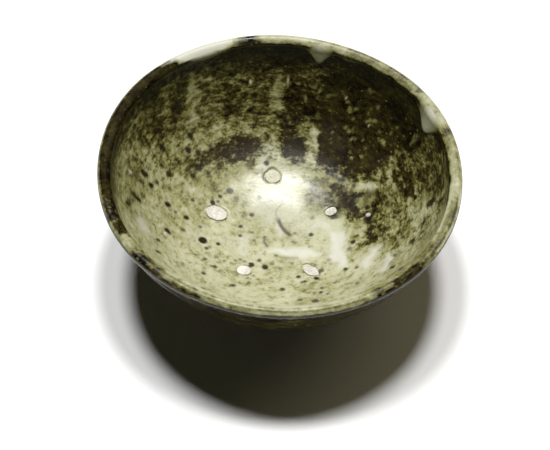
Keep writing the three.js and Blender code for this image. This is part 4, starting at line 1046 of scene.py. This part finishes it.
def ash_glaze(name, glass, iron, relief, specks):
    material, tree, shader = new_material(name, glass[0], ASH_IOR)
    place = add(tree, "ShaderNodeTexCoord").outputs["Object"]
    place = add(tree, "ShaderNodeMapping", {"Vector": place, "Scale": (1, 1, DRAWN_OUT)})
    value = {label: add(tree, "ShaderNodeAttribute", attribute_name=label).outputs["Fac"] for label in PAINTED}
    for label, size, detail in (("clots", CLOTS, 2), ("clouds", CLOUDS, 4), ("grains", GRAINS, 1)):
        value[label] = add(tree, "ShaderNodeTexNoise", {"Vector": place, "Scale": 1 / (size * MM),
                                                        "Detail": detail, "Roughness": 0.6})
    for label, (total, parts) in SUMS.items():
        for part, weight in parts:
            total = add(tree, "ShaderNodeMath", {0: value[part], 1: weight, 2: total}, operation="MULTIPLY_ADD")
        value[label] = total
    for label in ("cover", "pooled"):
        value[label] = add(tree, "ShaderNodeMapRange", {"Value": value[label], "From Max": LAYER_FULL},
                           interpolation_type="SMOOTHSTEP")

    reach = add(tree, "ShaderNodeMath", {0: value["tone"], 1: LEAST_UNREST}, operation="ADD")
    depth = add(tree, "ShaderNodeMath", {0: value["unrest"], 1: reach, 2: value["tone"]},
                operation="MULTIPLY_ADD")
    deepest = add(tree, "ShaderNodeMath", {0: value["unrest"], 1: IRON_UNREST, 2: IRON_DEPTH},
                  operation="MULTIPLY_ADD")
    depth = add(tree, "ShaderNodeMix", {0: value["cover"], 2: depth, 3: deepest}, data_type="FLOAT")
    ramp = add(tree, "ShaderNodeValToRGB", {0: depth})
    stops = ramp.color_ramp.elements
    while len(stops) < len(ASH_TONES):
        stops.new(0.5)
    for stop, (at_depth, colour) in zip(stops, ASH_TONES):
        stop.position, stop.color = at_depth, linear(colour)

    stain = add(tree, "ShaderNodeMapRange", {"Value": value["cover"], "To Min": STAIN_ON_ASH,
                                             "To Max": STAIN_ON_IRON})
    value["stain"] = add(tree, "ShaderNodeMath", {0: stain, 1: value["purple"]}, operation="MULTIPLY")
    layers = [(value[label], linear(COLOURS[label])) for label in ("fleck", "pooled", "stain")]
    grain_colour = add(tree, "ShaderNodeMix", {0: value["cover"], 6: linear(GRAIN_ON_ASH),
                                               7: linear(GRAIN_ON_IRON)}, data_type="RGBA").outputs[2]
    push = add(tree, "ShaderNodeTexNoise", {"Vector": place, "Scale": 1 / (RAGGED_SIZE * MM), "Detail": 1})
    ragged = add(tree, "ShaderNodeVectorMath", {0: push.outputs["Color"], 1: 3 * (RAGGED_REACH * MM,),
                                                2: place}, operation="MULTIPLY_ADD")
    share = add(tree, "ShaderNodeMix", {0: value["cover"], 2: value["tone"], 3: GRAINS_IN_IRON},
                data_type="FLOAT")
    for spacing, widest in GRAIN_SIZES:
        cells = add(tree, "ShaderNodeTexVoronoi", {"Vector": ragged, "Scale": 1 / (spacing * MM)})
        chance = add(tree, "ShaderNodeSeparateColor", {0: cells.outputs["Color"]})
        chance = add(tree, "ShaderNodeMath", {0: share, 1: LUCK_OF_SHARE, 2: chance}, operation="MULTIPLY_ADD")
        radius = add(tree, "ShaderNodeMapRange", {"Value": chance, "From Min": MOST_LUCK - specks,
                                                  "From Max": MOST_LUCK, "To Max": widest / spacing})
        within = add(tree, "ShaderNodeMath", {0: radius, 1: cells.outputs["Distance"]}, operation="SUBTRACT")
        dot = add(tree, "ShaderNodeMapRange", {"Value": within, "From Max": GRAIN_EDGE,
                                               "To Max": GRAIN_STRENGTH}, interpolation_type="SMOOTHSTEP")
        layers.append((dot, grain_colour))
    layers += [(value[label], linear(COLOURS[label])) for label in ("line", "speck")]
    ash = ramp.outputs["Color"]
    for share, colour in layers:
        ash = add(tree, "ShaderNodeMix", {0: share, 6: ash, 7: colour}, data_type="RGBA").outputs[2]
    tree.links.new(ash, shader.inputs["Base Color"])
    for socket, bare, covered in zip(("Roughness", "Specular IOR Level"), glass, iron):
        mixed = add(tree, "ShaderNodeMapRange", {"Value": value["cover"], "To Min": bare, "To Max": covered})
        tree.links.new(mixed.outputs[0], shader.inputs[socket])
    bump = add(tree, "ShaderNodeBump", {"Height": value["height"], "Strength": relief,
                                        "Distance": RELIEF_DEPTH * MM})
    tree.links.new(bump.outputs["Normal"], shader.inputs["Normal"])
    return material


for obj, name, *amounts in ((inner, "ash_glaze_poured_inside", (0.34, 0.5), (0.38, 0.15), 0.5, 0.4),
                            (rim, "ash_glaze_doubled_on_the_lip", (0.45, 0.5), (0.2, 0.3), 0.4, 0.3),
                            (outer, "iron_ash_glaze_outside", (0.3, 0.5), (0.2, 0.3), 0.7, 0.2)):
    obj.data.materials.clear()
    obj.data.materials.append(ash_glaze(name, *amounts))
    print(obj.name, "is", name)

# %% [markdown]
# ## Floor and light
# The photograph was taken on white paper, under two soft lamps overhead and a little behind the bowl. Their two
# shadow edges lie 60 pixels apart, which gives their directions, and how soft the edges are gives their size.
# Two suns with that angle light the bowl. A weak, very broad one stands for the room behind on the right, where
# the photograph's shadow is lifted and warm.

# %% The stage
FLOOR_REACH, ROOM_GLOW, ROOM_COLOUR = 20, 0.009, "#F8FFB4"
floor_mesh = bpy.data.meshes.new("floor")
floor_mesh.from_pydata([(FLOOR_REACH * x, FLOOR_REACH * y, 0) for x, y in ((-1, -1), (1, -1), (1, 1), (-1, 1))],
                       [], [(0, 1, 2, 3)])
floor = bpy.data.objects.new("floor", floor_mesh)
bpy.context.scene.collection.objects.link(floor)
paper, _, paper_shader = new_material("white_paper_floor", 0.9, 1.4)
paper_shader.inputs["Base Color"].default_value = (1, 1, 1, 1)
floor.data.materials.append(paper)

# Strength, width in degrees, the direction it shines from, and colour.
LAMPS = {
    "left_lamp": (1.95, 9, (-0.145, 0.2, 1), "#FFFFFF"),
    "right_lamp": (1.95, 9, (0.08, 0.2, 1), "#FFFFFF"),
    "room_behind": (0.26, 44, (0.82, 0.57, 1.05), "#FFF2C6"),
}
for name, (energy, width, towards, colour) in LAMPS.items():
    lamp_data = bpy.data.lights.new(name, "SUN")
    lamp_data.energy = energy
    lamp_data.color = linear(colour)[:3]
    lamp_data.angle = math.radians(width)
    lamp = bpy.data.objects.new(name, lamp_data)
    lamp.rotation_euler = Vector(towards).to_track_quat("Z", "Y").to_euler()
    bpy.context.scene.collection.objects.link(lamp)
world = bpy.data.worlds.new("studio")
bpy.context.scene.world = world
world.use_nodes = True
background = world.node_tree.nodes["Background"].inputs
background["Color"].default_value = linear(ROOM_COLOUR)
background["Strength"].default_value = ROOM_GLOW
bpy.context.scene.view_settings.view_transform = "Standard"
print("lamps:", ", ".join(LAMPS))

# %% [markdown]
# ## The camera
# The rim's outline in the photograph was fitted with a pinhole camera. That gives an elevation of 50.5
# degrees, a distance near 650 mm, a roll of one degree and the focal length in pixels. The frame is 550
# pixels wide.

# %% Place the camera
DISTANCE, ELEVATION, ROLL, FOCAL = 650, math.radians(50.5), math.radians(-1), 1573.6
AIM_DOWN, AIM_LEFT, FRAME_WIDTH, SENSOR_WIDTH = 59.7, 4.9, 550, 36
ahead = Vector((0, math.cos(ELEVATION), -math.sin(ELEVATION)))
right = Vector((1, 0, 0))
up = right.cross(ahead)
eye = Vector((0, 0, HEIGHT)) - DISTANCE * ahead
right, up = right * math.cos(ROLL) - up * math.sin(ROLL), right * math.sin(ROLL) + up * math.cos(ROLL)
ahead = (ahead * FOCAL - up * AIM_DOWN - right * AIM_LEFT).normalized()
right = (right - ahead * right.dot(ahead)).normalized()
up = right.cross(ahead)
camera_data = bpy.data.cameras.new("camera")
camera_data.sensor_width = SENSOR_WIDTH
camera_data.lens = FOCAL * SENSOR_WIDTH / FRAME_WIDTH
camera = bpy.data.objects.new("camera", camera_data)
camera.matrix_world = Matrix.Translation(eye * MM) @ Matrix((right, up, -ahead)).transposed().to_4x4()
bpy.context.scene.collection.objects.link(camera)
bpy.context.scene.camera = camera
print("camera looks down by", round(math.degrees(math.asin(-ahead.z)), 1), "degrees")
